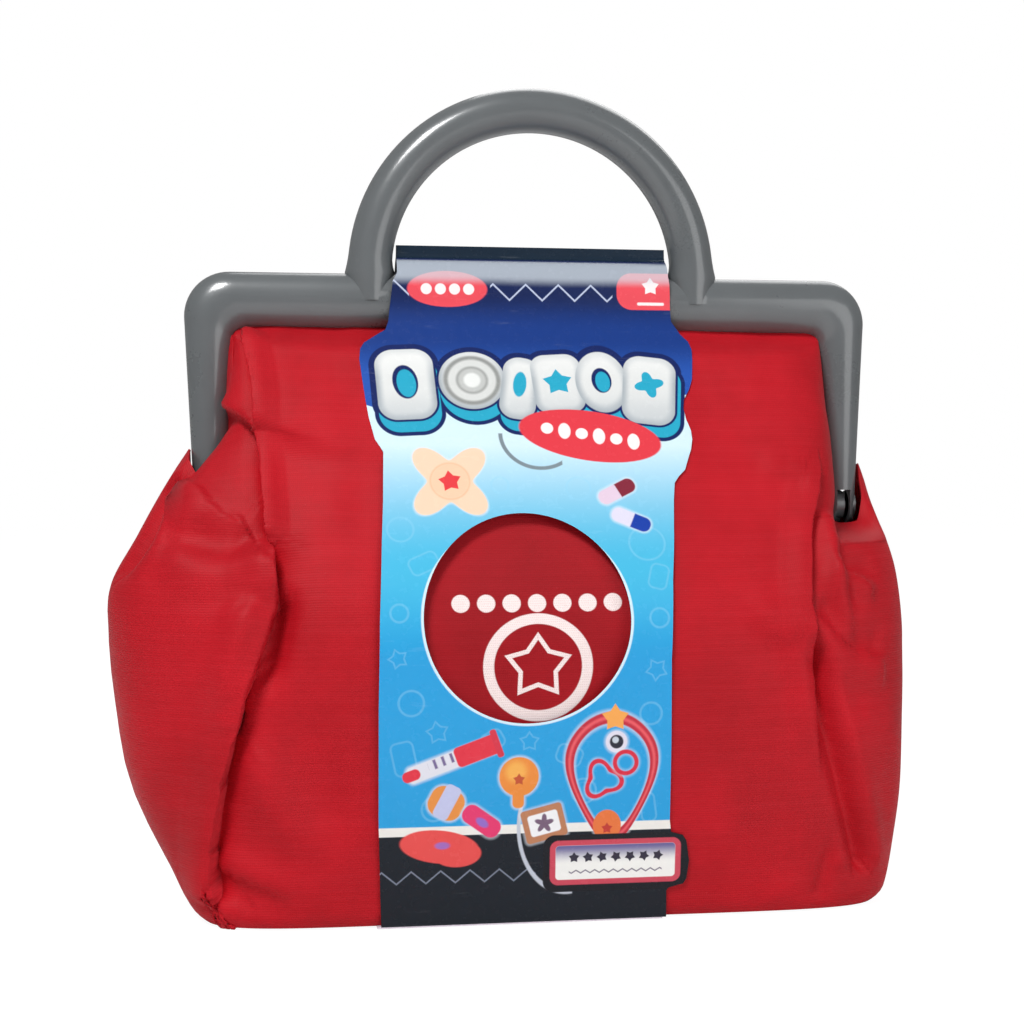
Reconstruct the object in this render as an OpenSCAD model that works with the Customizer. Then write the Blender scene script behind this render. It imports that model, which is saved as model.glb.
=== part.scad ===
// Toy carry case: a soft sewn bag hung in a rigid two-part frame with an arched handle,
// wrapped in a printed card sleeve. Millimetres. It stands on z = 0 with its front
// towards -Y, and the two half frames meet at y = 0.

/* [Node] */

/* [Frame] */
// Width across the frame at its top corners
frame_w = 202; // [170:1:240]
// Height of the frame's top edge above the ground
frame_top = 181.2; // [170:0.1:210]
// Height of the top bar's face
bar_h = 16; // [13:0.5:20]
// Leg width under the corner
leg_w_top = 14; // [12:0.5:18]
// Leg width at the hinge
leg_w_low = 9.8; // [9.4:0.1:13]
// How far each leg leans in at the hinge
leg_lean = 2.4; // [0:0.1:5]
// Depth of one half frame, and radius of the handle's section
half_d = 6.35; // [5.8:0.05:8]
// Outer radius of the top corners
corner_r = 13; // [9:0.5:18]
// Inner radius of the top corners
corner_in_r = 4; // [2:0.5:8]
// Wall of the moulding
frame_wall = 1.8; // [1.4:0.1:2.4]
// Gap between the closed halves
part_gap = 0.3; // [0.2:0.05:0.6]

/* [Handle] */
// Outer radius of the handle's arch
handle_ro = 54.2; // [46:0.2:62]
// Height of the arch's centre over the top edge
handle_lift = 0.4; // [0:0.2:8]
// Height of the flare where the handle meets the bar
flare_h = 5; // [3:0.5:8]
// How much wider the flare is than the handle, each way
flare_w = 1.6; // [0.5:0.1:2.4]
// Spacing of the cross ribs in the handle's channel, in degrees
rib_step = 20; // [15:1:40]
// Thickness of a cross rib
rib_t = 1.4; // [1:0.1:2]

/* [Hinge] */
// Height of the hinge axis above the ground
pin_z = 113.8; // [108:0.1:120]
// Radius of the hinge pin
pin_r = 1.5; // [1:0.1:2]
// Radius of the knuckles round the pin
knuckle_r = 4.2; // [3.6:0.1:5]
// Radius of the rounded leg end
leg_end_r = 6; // [5:0.1:6.3]
// Thickness of the fork's inner ear
ear_t = 3.1; // [2.4:0.1:3.6]
// Width of the fork's slot
slot_w = 4.1; // [3.4:0.1:4.6]
// Width of the knuckle in the slot
knuckle_w = 2.4; // [1.8:0.1:2.8]
// Clearance round and beside the knuckles
hinge_gap = 0.3; // [0.2:0.05:0.4]
// Running fit of the pin in the knuckle
pin_fit = 0.08; // [0.02:0.01:0.1]

/* [Snap] */
// Radius of a snap peg
peg_r = 2; // [1.5:0.1:2.4]
// How far a peg reaches into the other half
peg_reach = 2.6; // [2:0.1:3]
// Angle of the pegs round the handle's arch
peg_angle = 14; // [10:1:40]
// Clearance of a peg in its socket
peg_gap = 0.3; // [0.2:0.05:0.5]
// Wall round a peg's socket
boss_wall = 1.5; // [1.2:0.1:2]

/* [Clamp and hem] */
// Thickness of the clamp strip
clamp_t = 1.7; // [1.2:0.1:2]
// How far the clamp stays inside the moulding's edge
clamp_inset = 3; // [2.6:0.1:3.4]
// Thickness of the folded hem behind the clamp
hem_t = 1.4; // [1:0.1:1.8]
// Fit between the strips and what they lie on
strip_fit = 0.2; // [0.1:0.05:0.3]

/* [Bag] */
// Greatest width of the bag
bag_w = 242; // [220:1:270]
// Greatest depth of the bag
bag_d = 97; // [80:1:120]
// Height of the greatest width
belly_z = 75; // [60:1:85]
// Width at the ground
base_w = 196; // [180:1:220]
// Depth at the ground
base_d = 87; // [74:1:110]
// Width at the top of the lower bag
rim_w = 230; // [216:1:250]
// Depth at the top of the lower bag
rim_d = 80; // [66:1:100]
// How much less the right side stands out than the left, at the belly
right_draw = 12; // [0:0.5:14]
// The same at the top of the lower bag
right_draw_rim = 9.5; // [0:0.5:11]
// Height of the lower bag
rim_z = 104; // [96:0.5:106]
// Half distance between the front folds at the ground
fold_base = 88; // [80:0.5:92]
// Half distance between the front folds at the rim
fold_rim = 79; // [70:0.5:86]
// Squareness of the plan at the ground
base_sq = 7; // [4:0.5:10]
// Squareness of the plan at the rim
rim_sq = 3.4; // [2.6:0.1:5]
// Thickness of the padded cloth
cloth_t = 1.6; // [1.2:0.1:2.2]
// Gap between neighbouring soft pieces
soft_gap = 0.3; // [0.2:0.05:0.5]
// Height of the gusset's tongue beside the leg
tongue_h = 13; // [6:0.5:20]
// Thickness of the base board
board_t = 3; // [2:0.5:5]

/* [Card sleeve] */
// Width of the sleeve at the top
card_w = 84; // [60:1:90]
// Width of the sleeve at the ground
card_w_low = 79; // [60:1:90]
// Thickness of the card
card_t = 0.5; // [0.4:0.1:0.8]
// Sideways place of the sleeve's centre at mid height
card_x = -7.1; // [-12:0.1:12]
// Lean of the sleeve on the front
card_tilt = 1.7; // [-3:0.1:3]
// Height of the fold above the frame's top edge
fold_h = 4; // [3:0.2:8]
// Height of the glued fin above the fold
fin_h = 4.4; // [2:0.2:8]
// Sideways place of the window's centre
window_x = -8.2; // [-14:0.1:14]
// Radius of the round window
window_r = 28.3; // [20:0.1:34]
// Height of the window's centre
window_z = 84.2; // [60:0.1:96]
// Sideways place of the wide plate shape's centre
plate_x = -3; // [-12:0.1:12]
// Width of the wide plate shape
plate_w = 95; // [88:1:104]
// Lower edge of the plate shape
plate_z0 = 121.5; // [116:0.5:130]
// Upper edge of the plate shape
plate_z1 = 166; // [140:0.5:168]
// Corner radius of the plate shape
plate_r = 7; // [2:0.5:12]
// Reach of the small side tab
tab_reach = 5.5; // [3:0.5:10]
// Height of the small side tab
tab_h = 15; // [10:0.5:24]
// Height of the tab's centre
tab_z = 17; // [12:0.5:30]

/* [Hidden] */
$fn = 48;
over = 1;
half_w = frame_w / 2;
g = part_gap / 2;
bar_mid = frame_top - bar_h / 2;
bar_low = frame_top - bar_h;
leg_top_out = frame_top - corner_r;
leg_top_in = bar_low - corner_in_r;
handle_r = handle_ro - half_d;
handle_z = frame_top + handle_lift;
cut_z = pin_z + knuckle_r + hinge_gap;
ear_x = half_w - leg_lean - leg_w_low;
slot_x = ear_x + ear_t;
knuckle_x = slot_x + (slot_w - knuckle_w) / 3;
peg_c = [handle_r * cos(peg_angle), handle_z + handle_r * sin(peg_angle)];
clamp_y = g + strip_fit;
hem_y = clamp_y + clamp_t + strip_fit;
channel_d = half_d - frame_wall;
grey = [0.42, 0.44, 0.45];
red = [0.75, 0.1, 0.15];
dark_red = [0.6, 0.08, 0.12];
blue = [0.2, 0.5, 0.8];

// ---------- shared shapes ----------

function mix(a, b, t) = a + (b - a) * t;
function join(l) = [for (a = l, b = a) b];
function ease(t) = let(c = max(0, min(1, t))) c * c * (3 - 2 * c);

// Two triangles for the patch between columns b and b + 1 of rows p and q.
function patch(p, q, b, c) = [[p + b, q + b, q + c], [p + b, q + c, p + c]];

// Triangle k of a cap that zigzags between the two ends of an n-point section.
function zigzag(k, n) = let(lo = ceil(k / 2), hi = n - 1 - floor(k / 2))
  k % 2 == 0 ? [hi, lo, lo + 1] : [hi, lo, hi - 1];

// A closed skin through sections of equal length, ends capped.
module loft(sections) {
  n = len(sections[0]);
  m = len(sections);
  sides = join([for (r = [0:m - 2], b = [0:n - 1]) patch(r * n, (r + 1) * n, b, (b + 1) % n)]);
  first = [for (k = [0:n - 3]) zigzag(k, n)];
  last = [for (f = first) [for (i = [2, 1, 0]) (m - 1) * n + f[i]]];
  polyhedron(join(sections), concat(sides, first, last));
}

// A sheet between an outer and an inner grid; columns run to the viewer's right.
module sheet(outer, inner) {
  loft([for (r = [0:len(outer) - 1])
    concat(outer[r], [for (c = [len(inner[r]) - 1:-1:0]) inner[r][c]])]);
}

// ---------- frame ----------

function leg_out(z) = half_w - leg_lean * (leg_top_out - z) / (leg_top_out - pin_z);
function leg_wide(z) = mix(leg_w_low, leg_w_top, (z - pin_z) / (leg_top_in - pin_z));
function leg_in(z) = leg_out(z) - leg_wide(z);

// Outer and inner edge points of the U at matched stations on the right side.
function u_side(z0) = concat(
  [for (f = [0, 0.34, 0.67, 1]) let(zo = mix(z0, leg_top_out, f), zi = mix(z0, leg_top_in, f))
    [[leg_out(zo), zo], [leg_in(zi), zi]]],
  [for (a = [10:10:90]) [
    [half_w - corner_r + corner_r * cos(a), leg_top_out + corner_r * sin(a)],
    [leg_in(leg_top_in) - corner_in_r + corner_in_r * cos(a), leg_top_in + corner_in_r * sin(a)]]]);
function flip_x(s) = [[-s[0][0], s[0][1]], [-s[1][0], s[1][1]]];
function u_path(z0) = let(r = u_side(z0))
  concat([for (p = r) flip_x(p)], [for (i = [len(r) - 1:-1:0]) r[i]]);

// A strip along the U with the profile [[across, depth], ...], across from -1 to 1.
module u_strip(z0, inset, profile) {
  loft([for (s = u_path(z0))
    let(c = (s[0] + s[1]) / 2, h = (s[0] - s[1]) / 2, k = 1 - inset / norm(h))
    [for (p = profile) [c[0] + h[0] * k * p[0], -p[1], c[1] + h[1] * k * p[0]]]]);
}

function d_profile(d) = [for (a = [0:15:180]) [cos(a), g + (d - g) * sin(a)]];
function strip_profile(y0, t) = [[1, y0], [1, y0 + t], [-1, y0 + t], [-1, y0]];

module half_disc(r) {
  intersection() {
    circle(r);
    translate([-r, g]) square([2 * r, r]);
  }
}

module arch(r) {
  translate([0, 0, handle_z]) rotate([90, 0, 0]) rotate_extrude(angle = 180, $fn = 96)
    translate([handle_r, 0]) half_disc(r);
}

module handle_leg(r, z0) {
  translate([handle_r, 0, z0]) mirror([0, 1, 0]) linear_extrude(handle_z - z0) half_disc(r);
}

// The flare at the handle's foot, a cove in the plane of the frame.
module flare() {
  intersection() {
    translate([handle_r, 0, frame_top - over]) rotate([90, 0, 0]) linear_extrude(half_d)
      difference() {
        translate([-half_d - flare_w, 0]) square([2 * (half_d + flare_w), flare_h + over]);
        for (s = [-1, 1]) translate([s * (half_d + flare_h), flare_h + over]) circle(flare_h);
      }
    translate([handle_r, 0, frame_top - over]) cylinder(flare_h + over, half_d + flare_w, half_d);
    translate([0, -half_d - g, 0]) cube([frame_w, half_d, frame_top + flare_h + over]);
  }
}

module grip_body() {
  arch(half_d);
  for (s = [0, 1]) mirror([s, 0, 0]) {
    handle_leg(half_d, bar_mid);
    flare();
  }
}

// The open channel in the handle, with its cross ribs and peg bosses left standing.
module grip_channel() {
  difference() {
    union() {
      arch(channel_d);
      for (s = [0, 1]) mirror([s, 0, 0]) handle_leg(channel_d, frame_top - over);
    }
    for (a = [rib_step:rib_step:180 - rib_step]) translate([0, 0, handle_z])
      rotate([0, -a, 0]) translate([handle_r - half_d, -half_d, -rib_t / 2])
        cube([2 * half_d, half_d - g - strip_fit, rib_t]);
    for (s = [0, 1]) mirror([s, 0, 0]) translate([peg_c[0], -g, peg_c[1]])
      rotate([90, 0, 0]) cylinder(half_d, r = peg_r + peg_gap + boss_wall);
  }
}

module x_cylinder(x0, w, r) {
  translate([x0, 0, pin_z]) rotate([0, 90, 0]) cylinder(w, r = r);
}

// What is cut from the right leg end: everything but the rounded ears or the knuckle.
module leg_end_cut(fork) {
  low = pin_z - 2 * leg_end_r;
  keep_x = fork ? ear_x - over : knuckle_x;
  keep_w = fork ? leg_w_low + 2 * over : knuckle_w;
  difference() {
    translate([ear_x - 3 * over, -2 * half_d, low])
      cube([leg_w_low + 6 * over, 2 * half_d + over, cut_z - low]);
    difference() {
      union() {
        x_cylinder(keep_x, keep_w, leg_end_r);
        translate([keep_x, -half_d - over, pin_z]) cube([keep_w, half_d + over, cut_z - pin_z]);
      }
      if (fork) translate([slot_x, -2 * half_d, low]) cube([slot_w, 3 * half_d, cut_z - low]);
    }
  }
}

module knuckles(fork) {
  if (fork) {
    x_cylinder(ear_x + hinge_gap, ear_t - hinge_gap, knuckle_r);
    x_cylinder(slot_x + slot_w, leg_w_low - ear_t - slot_w - hinge_gap, knuckle_r);
  } else x_cylinder(knuckle_x, knuckle_w, knuckle_r);
}

module half_frame(fork) {
  difference() {
    union() {
      difference() {
        union() {
          u_strip(pin_z - leg_end_r, 0, d_profile(half_d));
          grip_body();
        }
        u_strip(cut_z + frame_wall, frame_wall, concat([[1, 0]], d_profile(channel_d), [[-1, 0]]));
        grip_channel();
        for (s = [0, 1]) mirror([s, 0, 0]) leg_end_cut(fork);
      }
      for (s = [0, 1]) mirror([s, 0, 0]) knuckles(fork);
    }
    for (s = [0, 1]) mirror([s, 0, 0]) {
      x_cylinder(ear_x - over, leg_w_low + 2 * over, fork ? pin_r : pin_r + pin_fit);
      translate([peg_c[0], 0, peg_c[1]]) rotate([90, 0, 0])
        cylinder(peg_reach + peg_gap + g, r = fork ? peg_r : peg_r + peg_gap);
    }
  }
}

module front_frame() { color(grey) half_frame(true); }

module back_frame() { color(grey) mirror([0, 1, 0]) half_frame(false); }

module clamp() { u_strip(cut_z + 2 * frame_wall, clamp_inset, strip_profile(clamp_y, clamp_t)); }

// Share of the channel's width that is open at depth y, less the fit.
function channel_share(y) = sqrt(1 - pow((y - g + strip_fit) / (channel_d - g), 2));

// The hem fills the round bottom of the channel behind the clamp.
module hem() {
  a = channel_share(hem_y);
  b = channel_share(hem_y + hem_t);
  u_strip(cut_z + 2 * frame_wall, frame_wall + strip_fit,
    [[a, hem_y], [b, hem_y + hem_t], [-b, hem_y + hem_t], [-a, hem_y]]);
}

module front_clamp() { color("dimgray") clamp(); }

module back_clamp() { color("dimgray") mirror([0, 1, 0]) clamp(); }

module front_hem() { color(dark_red) hem(); }

module back_hem() { color(dark_red) mirror([0, 1, 0]) hem(); }

module hinge_pins() {
  color("silver") for (s = [0, 1]) mirror([s, 0, 0])
    x_cylinder(ear_x + hinge_gap, leg_w_low - 2 * hinge_gap, pin_r);
}

module snap_pegs() {
  color("gray") for (s = [0, 1]) mirror([s, 0, 0])
    translate([peg_c[0], peg_reach, peg_c[1]]) rotate([90, 0, 0])
      cylinder(2 * peg_reach, r = peg_r);
}

// ---------- bag ----------

// Half width or half depth at height z, from its ground, belly and rim values.
function swell(z, a, b, c) = z < belly_z
  ? a + (b - a) * pow(sin(90 * z / belly_z), 0.7)
  : b + (c - b) * (1 - cos(90 * (z - belly_z) / (rim_z - belly_z)));
function plan_w(z, right = false) = swell(z, base_w / 2, bag_w / 2, rim_w / 2)
  - (right ? swell(z, 0, right_draw, right_draw_rim) : 0);
function plan_d(z) = swell(z, base_d / 2, bag_d / 2, rim_d / 2);
function plan_sq(z) = mix(rim_sq, base_sq, pow(max(0, 1 - z / belly_z), 1.5));
function fold_x(z) = mix(fold_base, fold_rim, z / rim_z);

// Depth at x, and width at y, on the plan at height z, drawn in by t.
function depth_at(x, z, t) = let(e = plan_sq(z))
  (plan_d(z) - t) * pow(max(0, 1 - pow(abs(x) / (plan_w(z, x > 0) - t), e)), 1 / e);
function width_at(y, z, t, right = false) = let(e = plan_sq(z))
  (plan_w(z, right) - t) * pow(max(0, 1 - pow(abs(y) / (plan_d(z) - t), e)), 1 / e);

// Heights of the lower bag's rows, closer together where it rounds into the base.
function low_levels() = [for (f = concat([0, 0.03, 0.07], [for (i = [0:8]) mix(0.135, 1, i / 8)]))
  f * rim_z];

function front_grid(t) = [for (z = low_levels()) let(w = fold_x(z) - t - soft_gap / 2)
  [for (i = [-8:8]) let(x = w * i / 8) [x, -depth_at(x, z, t), z]]];
function gusset_grid(t, right) = [for (z = low_levels())
  let(d = depth_at((right ? 1 : -1) * (fold_x(z) - t), z, t) - soft_gap / 2)
  [for (i = [8:-1:-8]) let(y = d * sin(90 * i / 8)) [-width_at(y, z, t, right), y, z]]];

// The shallow way under the bag that the sleeve's card passes through.
module card_way() {
  translate([sleeve_x(0) - card_w_low / 2 - 2 * soft_gap, -bag_d, -over])
    cube([card_w_low + 4 * soft_gap, 2 * bag_d, card_t + soft_gap + over]);
}

module front_panel() {
  color(red) difference() {
    sheet(front_grid(0), front_grid(cloth_t));
    card_way();
  }
}

module back_panel() { color(red) mirror([0, 1, 0]) front_panel(); }

module gusset(right) { sheet(gusset_grid(0, right), gusset_grid(cloth_t, right)); }

module left_gusset() { color(red) gusset(false); }

module right_gusset() { color(red) mirror([1, 0, 0]) gusset(true); }

// Plan outline at height z drawn in by t.
module plan(z, t) {
  n = 24;
  quarter = [for (i = [0:n]) let(y = (plan_d(z) - t) * sin(90 * i / n)) [width_at(y, z, t), y]];
  polygon(concat(quarter,
    [for (i = [n - 1:-1:0]) [-quarter[i][0], quarter[i][1]]],
    [for (i = [1:n]) [-quarter[i][0], -quarter[i][1]]],
    [for (i = [n - 1:-1:1]) [quarter[i][0], -quarter[i][1]]]));
}

module bottom_panel() {
  color(dark_red) difference() {
    linear_extrude(cloth_t) plan(0, cloth_t + soft_gap);
    card_way();
  }
}

module base_board() {
  color("tan") translate([0, 0, cloth_t + soft_gap]) linear_extrude(board_t)
    plan(0, cloth_t + 2 * soft_gap);
}

// Upper front: from the rim to the frame, with its sides along the legs.
up_rows = 12;
hug_y = half_d + soft_gap;
hug_z = pin_z - leg_end_r - soft_gap;
shoulder = 0.16;

// Half depth of the centre line at share v of the way up.
function up_depth(v) = mix(rim_d / 2, half_d + cloth_t, pow(v, 0.92)) + 2.2 * sin(180 * v);
function up_z(v) = mix(rim_z + soft_gap, bar_low - soft_gap, v);
function edge_z(v) = v < shoulder ? mix(rim_z + soft_gap, hug_z, v / shoulder)
  : mix(hug_z, bar_low - soft_gap, (v - shoulder) / (1 - shoulder));
function edge_x(v) = v < shoulder
  ? mix(fold_rim - soft_gap / 2, leg_in(hug_z) - soft_gap, v / shoulder)
  : leg_in(min(leg_top_in, edge_z(v))) - soft_gap;
function edge_y(v, side) = v < shoulder
  ? mix(rim_side(side), hug_y, v / shoulder)
  : mix(hug_y, half_d / 2, ease((v - 0.8) / 0.2));

// Share of the depth kept at u across: the lower bag's plan at the rim, then a fuller arch.
function rim_side(side) = depth_at((side > 0 ? 1 : -1) * fold_rim, rim_z, 0);
function rim_share(u) =
  (depth_at(u * fold_rim, rim_z, 0) - rim_side(u)) / (rim_d / 2 - rim_side(u));
function arch_share(u) = pow(1 - pow(abs(u), 6), 1 / 3);

function upper_grid() = [for (r = [0:up_rows])
  let(v = r / up_rows, k = ease(v / 0.6))
  [for (i = [-8:8]) let(u = sin(90 * i / 8), share = mix(rim_share(u), arch_share(u), k))
    [u * edge_x(v), -mix(edge_y(v, u), up_depth(v), share),
      mix(up_z(v), edge_z(v), pow(abs(u), 3))]]];

// The inner face of a grid, moved in along its own normals and kept over the rim.
function inset(p, t) = let(m = len(p) - 1, n = len(p[0]) - 1)
  [for (r = [0:m]) [for (c = [0:n])
    let(du = p[r][min(n, c + 1)] - p[r][max(0, c - 1)],
      dv = p[min(m, r + 1)][c] - p[max(0, r - 1)][c],
      w = cross(du, dv), q = p[r][c] - t * w / norm(w))
    [q[0], q[1], max(rim_z + soft_gap, q[2])]]];

module front_panel_upper() { color(red) sheet(upper_grid(), inset(upper_grid(), cloth_t)); }

module back_panel_upper() { color(red) mirror([0, 1, 0]) front_panel_upper(); }

// Upper gusset: a shoulder from the rim to the leg's end, with a tongue beside the leg.
tongue_z = pin_z + tongue_h;
tongue_x = leg_out(tongue_z) + soft_gap + cloth_t;
function shoulder_grid(right) = [for (r = [0:6]) let(v = r / 6, side = right ? 1 : -1)
  [for (i = [8:-1:-8]) let(s = sin(90 * i / 8), y = (rim_side(side) - soft_gap / 2) * s,
      c = 1 - pow(abs(s), 4),
      top = [-mix(ear_x, tongue_x, pow(c, 0.25)), (hug_y + cloth_t) * s,
        mix(hug_z, tongue_z, pow(c, 3))],
      low = [-width_at(y, rim_z, 0, right), y, rim_z + soft_gap])
    mix(low, top, v) + [-3 * sin(180 * v) * c, 0, 0]]];

module gusset_upper(right) {
  sheet(shoulder_grid(right), inset(shoulder_grid(right), cloth_t));
}

module left_gusset_upper() { color(red) gusset_upper(false); }

module right_gusset_upper() { color(red) mirror([1, 0, 0]) gusset_upper(true); }

// ---------- card sleeve ----------

neck_z = frame_top - bar_h * 0.1;
neck_w = 2 * (handle_r - half_d - flare_w - soft_gap);
neck_step = 2;
plate_mid = (plate_z0 + plate_z1) / 2;
fold_z = frame_top + fold_h;
fin_z = fold_z + fin_h;

// The sleeve's line [y, z] down the front, inner face.
function card_line() = concat(
  [for (z = low_levels()) [-plan_d(max(z, card_t)) - soft_gap, max(z, card_t)]],
  [for (r = [0.5:1:up_rows - 1]) let(v = r / up_rows) [-up_depth(v) - soft_gap, up_z(v)]],
  [[-half_d - soft_gap, bar_mid], [-half_d * 0.93 - soft_gap, frame_top - bar_h * 0.2],
    [-half_d * 0.78, frame_top + fold_h * 0.35], [-half_d * 0.48, frame_top + fold_h * 0.8],
    [-half_d * 0.2, fold_z], [-g, fold_z + fin_h * 0.3], [-g, fin_z]]);

// The same line moved out by the card's thickness, still standing on the card below.
function moved(l, d) = [for (i = [0:len(l) - 1])
  let(a = l[max(0, i - 1)], b = l[min(len(l) - 1, i + 1)], n = b - a,
    q = l[i] + d * [-n[1], n[0]] / norm(n))
  [q[0], max(card_t, q[1])]];

function sleeve_x(z) = card_x + (z - window_z) * tan(card_tilt);
function sleeve_w(z) = mix(card_w_low, card_w, z / frame_top);

module round_plate(x0, z0, w, h, r) {
  hull() for (x = [x0 + r, x0 + w - r], z = [z0 + r, z0 + h - r]) translate([x, z]) circle(r);
}

// What the sleeve's die-cut outline keeps, as prisms along Y.
module card_outline(front) {
  rotate([90, 0, 0]) {
    linear_extrude(bag_d) polygon([for (s = [-1, 1],
        z = s < 0 ? [0, plate_mid, neck_z] : [neck_z, plate_mid, 0])
      [z < neck_z ? sleeve_x(z) + s * sleeve_w(z) / 2 : s * (neck_w / 2 + neck_step), z]]);
    translate([-neck_w / 2, neck_z - over]) cube([neck_w, fin_z - neck_z + over, bag_d]);
    if (front) {
      linear_extrude(bag_d) round_plate(plate_x - plate_w / 2,
        plate_z0, plate_w, plate_z1 - plate_z0, plate_r);
      translate([sleeve_x(tab_z), tab_z - tab_h / 2, 0])
        cube([sleeve_w(tab_z) / 2 + tab_reach, tab_h, bag_d]);
    }
  }
}

module card_wrap(front) {
  line = card_line();
  difference() {
    intersection() {
      rotate([90, 0, 90]) translate([0, 0, -bag_w / 2]) linear_extrude(bag_w)
        polygon(concat(line, [for (i = [len(line) - 1:-1:0]) moved(line, card_t)[i]]));
      card_outline(front);
    }
    if (front) translate([window_x, 0, window_z]) rotate([90, 0, 0])
      cylinder(bag_d, r = window_r);
  }
}

module card_front() { color(blue) card_wrap(true); }

module card_back() { color(blue) mirror([0, 1, 0]) card_wrap(false); }

module card_bottom() {
  d = plan_d(card_t) + soft_gap + card_t;
  color("navy") translate([sleeve_x(0) - card_w_low / 2, -d, 0]) cube([card_w_low, 2 * d, card_t]);
}

// ---------- nodes ----------

front_frame();
front_clamp();
front_hem();
hinge_pins();
snap_pegs();
back_frame();
back_clamp();
back_hem();
front_panel();
back_panel();
left_gusset();
right_gusset();
front_panel_upper();
back_panel_upper();
left_gusset_upper();
right_gusset_upper();
bottom_panel();
base_board();
card_front();
card_back();
card_bottom();
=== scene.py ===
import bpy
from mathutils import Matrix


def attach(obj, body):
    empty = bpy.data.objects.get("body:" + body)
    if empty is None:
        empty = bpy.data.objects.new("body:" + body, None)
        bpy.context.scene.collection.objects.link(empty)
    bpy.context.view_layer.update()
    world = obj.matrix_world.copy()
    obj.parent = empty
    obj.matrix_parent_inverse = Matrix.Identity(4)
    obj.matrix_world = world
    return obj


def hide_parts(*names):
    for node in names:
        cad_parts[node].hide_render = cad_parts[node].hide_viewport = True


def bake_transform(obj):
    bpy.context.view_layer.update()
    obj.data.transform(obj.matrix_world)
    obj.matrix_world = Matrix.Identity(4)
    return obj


bl_info = {
    "name": "Toy Carry Case",
    "version": (1, 0, 0),
    "blender": (4, 5, 0),
    "location": "View3D > Sidebar > Carry Case",
    "description": "Dresses the packed toy carry case with moulded plastic, cloth and printed card",
    "category": "Object",
}

import math

import bpy
import numpy as np
from mathutils import Vector, noise

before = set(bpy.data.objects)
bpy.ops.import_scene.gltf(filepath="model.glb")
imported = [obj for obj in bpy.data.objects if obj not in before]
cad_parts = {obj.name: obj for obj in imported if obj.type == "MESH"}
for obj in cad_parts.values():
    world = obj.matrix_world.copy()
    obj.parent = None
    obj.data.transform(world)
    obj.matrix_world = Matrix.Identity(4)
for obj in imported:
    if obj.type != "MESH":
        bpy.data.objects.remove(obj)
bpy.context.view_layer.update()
MM = 0.001

# ---------------------------------------------------------------- sizes, in mm, as in the part's source
HALF_W, TOP, BAR_H, HALF_D, GAP = 101.0, 181.2, 16.0, 6.35, 0.15
LEG_TOP, LEG_LOW, LEAN, R_OUT, R_IN, WALL = 14.0, 9.8, 2.4, 13.0, 4.0, 1.8
ARCH_R, ARCH_Z = 47.85, 181.6
PIN_Z, PIN_R, KNUCKLE_R, END_R, CUT_Z = 113.8, 1.5, 4.2, 6.0, 118.3
EAR_X, EAR_T, SLOT_W, KNUCKLE_W = 88.8, 3.1, 4.1, 2.4
RIM_Z, BELLY_Z, BAR_LOW = 104.0, 75.0, 165.2
CARD_T, CARD_X = 0.5, -7.1
WINDOW_X, WINDOW_Z, WINDOW_R = -8.2, 84.2, 28.3
FOLD_Z, FIN_Z = 185.2, 189.6


# ---------------------------------------------------------------- shader maths
class Sock:
    """A shader socket that takes part in arithmetic."""

    def __init__(self, paint, out):
        self.paint, self.out = paint, out

    def op(self, kind, *others):
        return self.paint.node("Math", self, *others, operation=kind)

    def __add__(self, o):
        return self.op("ADD", o)

    def __sub__(self, o):
        return self.op("SUBTRACT", o)

    def __rsub__(self, o):
        return self.paint.node("Math", o, self, operation="SUBTRACT")

    def __mul__(self, o):
        return self.op("MULTIPLY", o)

    def __truediv__(self, o):
        return self.op("DIVIDE", o)

    def __pow__(self, o):
        return self.op("POWER", o)

    def __abs__(self):
        return self.op("ABSOLUTE")

    __radd__, __rmul__ = __add__, __mul__

    def vec(self, kind, other=None, out=0):
        return self.paint.node("VectorMath", self, other, operation=kind, out=out)

    def along(self, x, y):
        """How far a vector reaches in the direction x, y."""
        return self.vec("DOT_PRODUCT", (x, y, 0), out=1)

    def length(self):
        return self.vec("LENGTH", out=1)

    def low(self, o):
        return self.op("MINIMUM", o)

    def high(self, o):
        return self.op("MAXIMUM", o)

    def ramp(self, a, b, lo=0.0, hi=1.0):
        """Rises smoothly from lo at a to hi at b."""
        return self.paint.node("MapRange", self, a, b, lo, hi, interpolation_type="SMOOTHSTEP")


def add_node(tree, kind, ins=None, **props):
    """Adds a shader node with these settings, and these links or values at its inputs."""
    n = tree.nodes.new("ShaderNode" + kind)
    for key, value in props.items():
        setattr(n, key, value)
    for key, value in (ins or {}).items():
        if isinstance(value, bpy.types.NodeSocket):
            tree.links.new(value, n.inputs[key])
        elif value is not None:
            n.inputs[key].default_value = value
    return n


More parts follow.
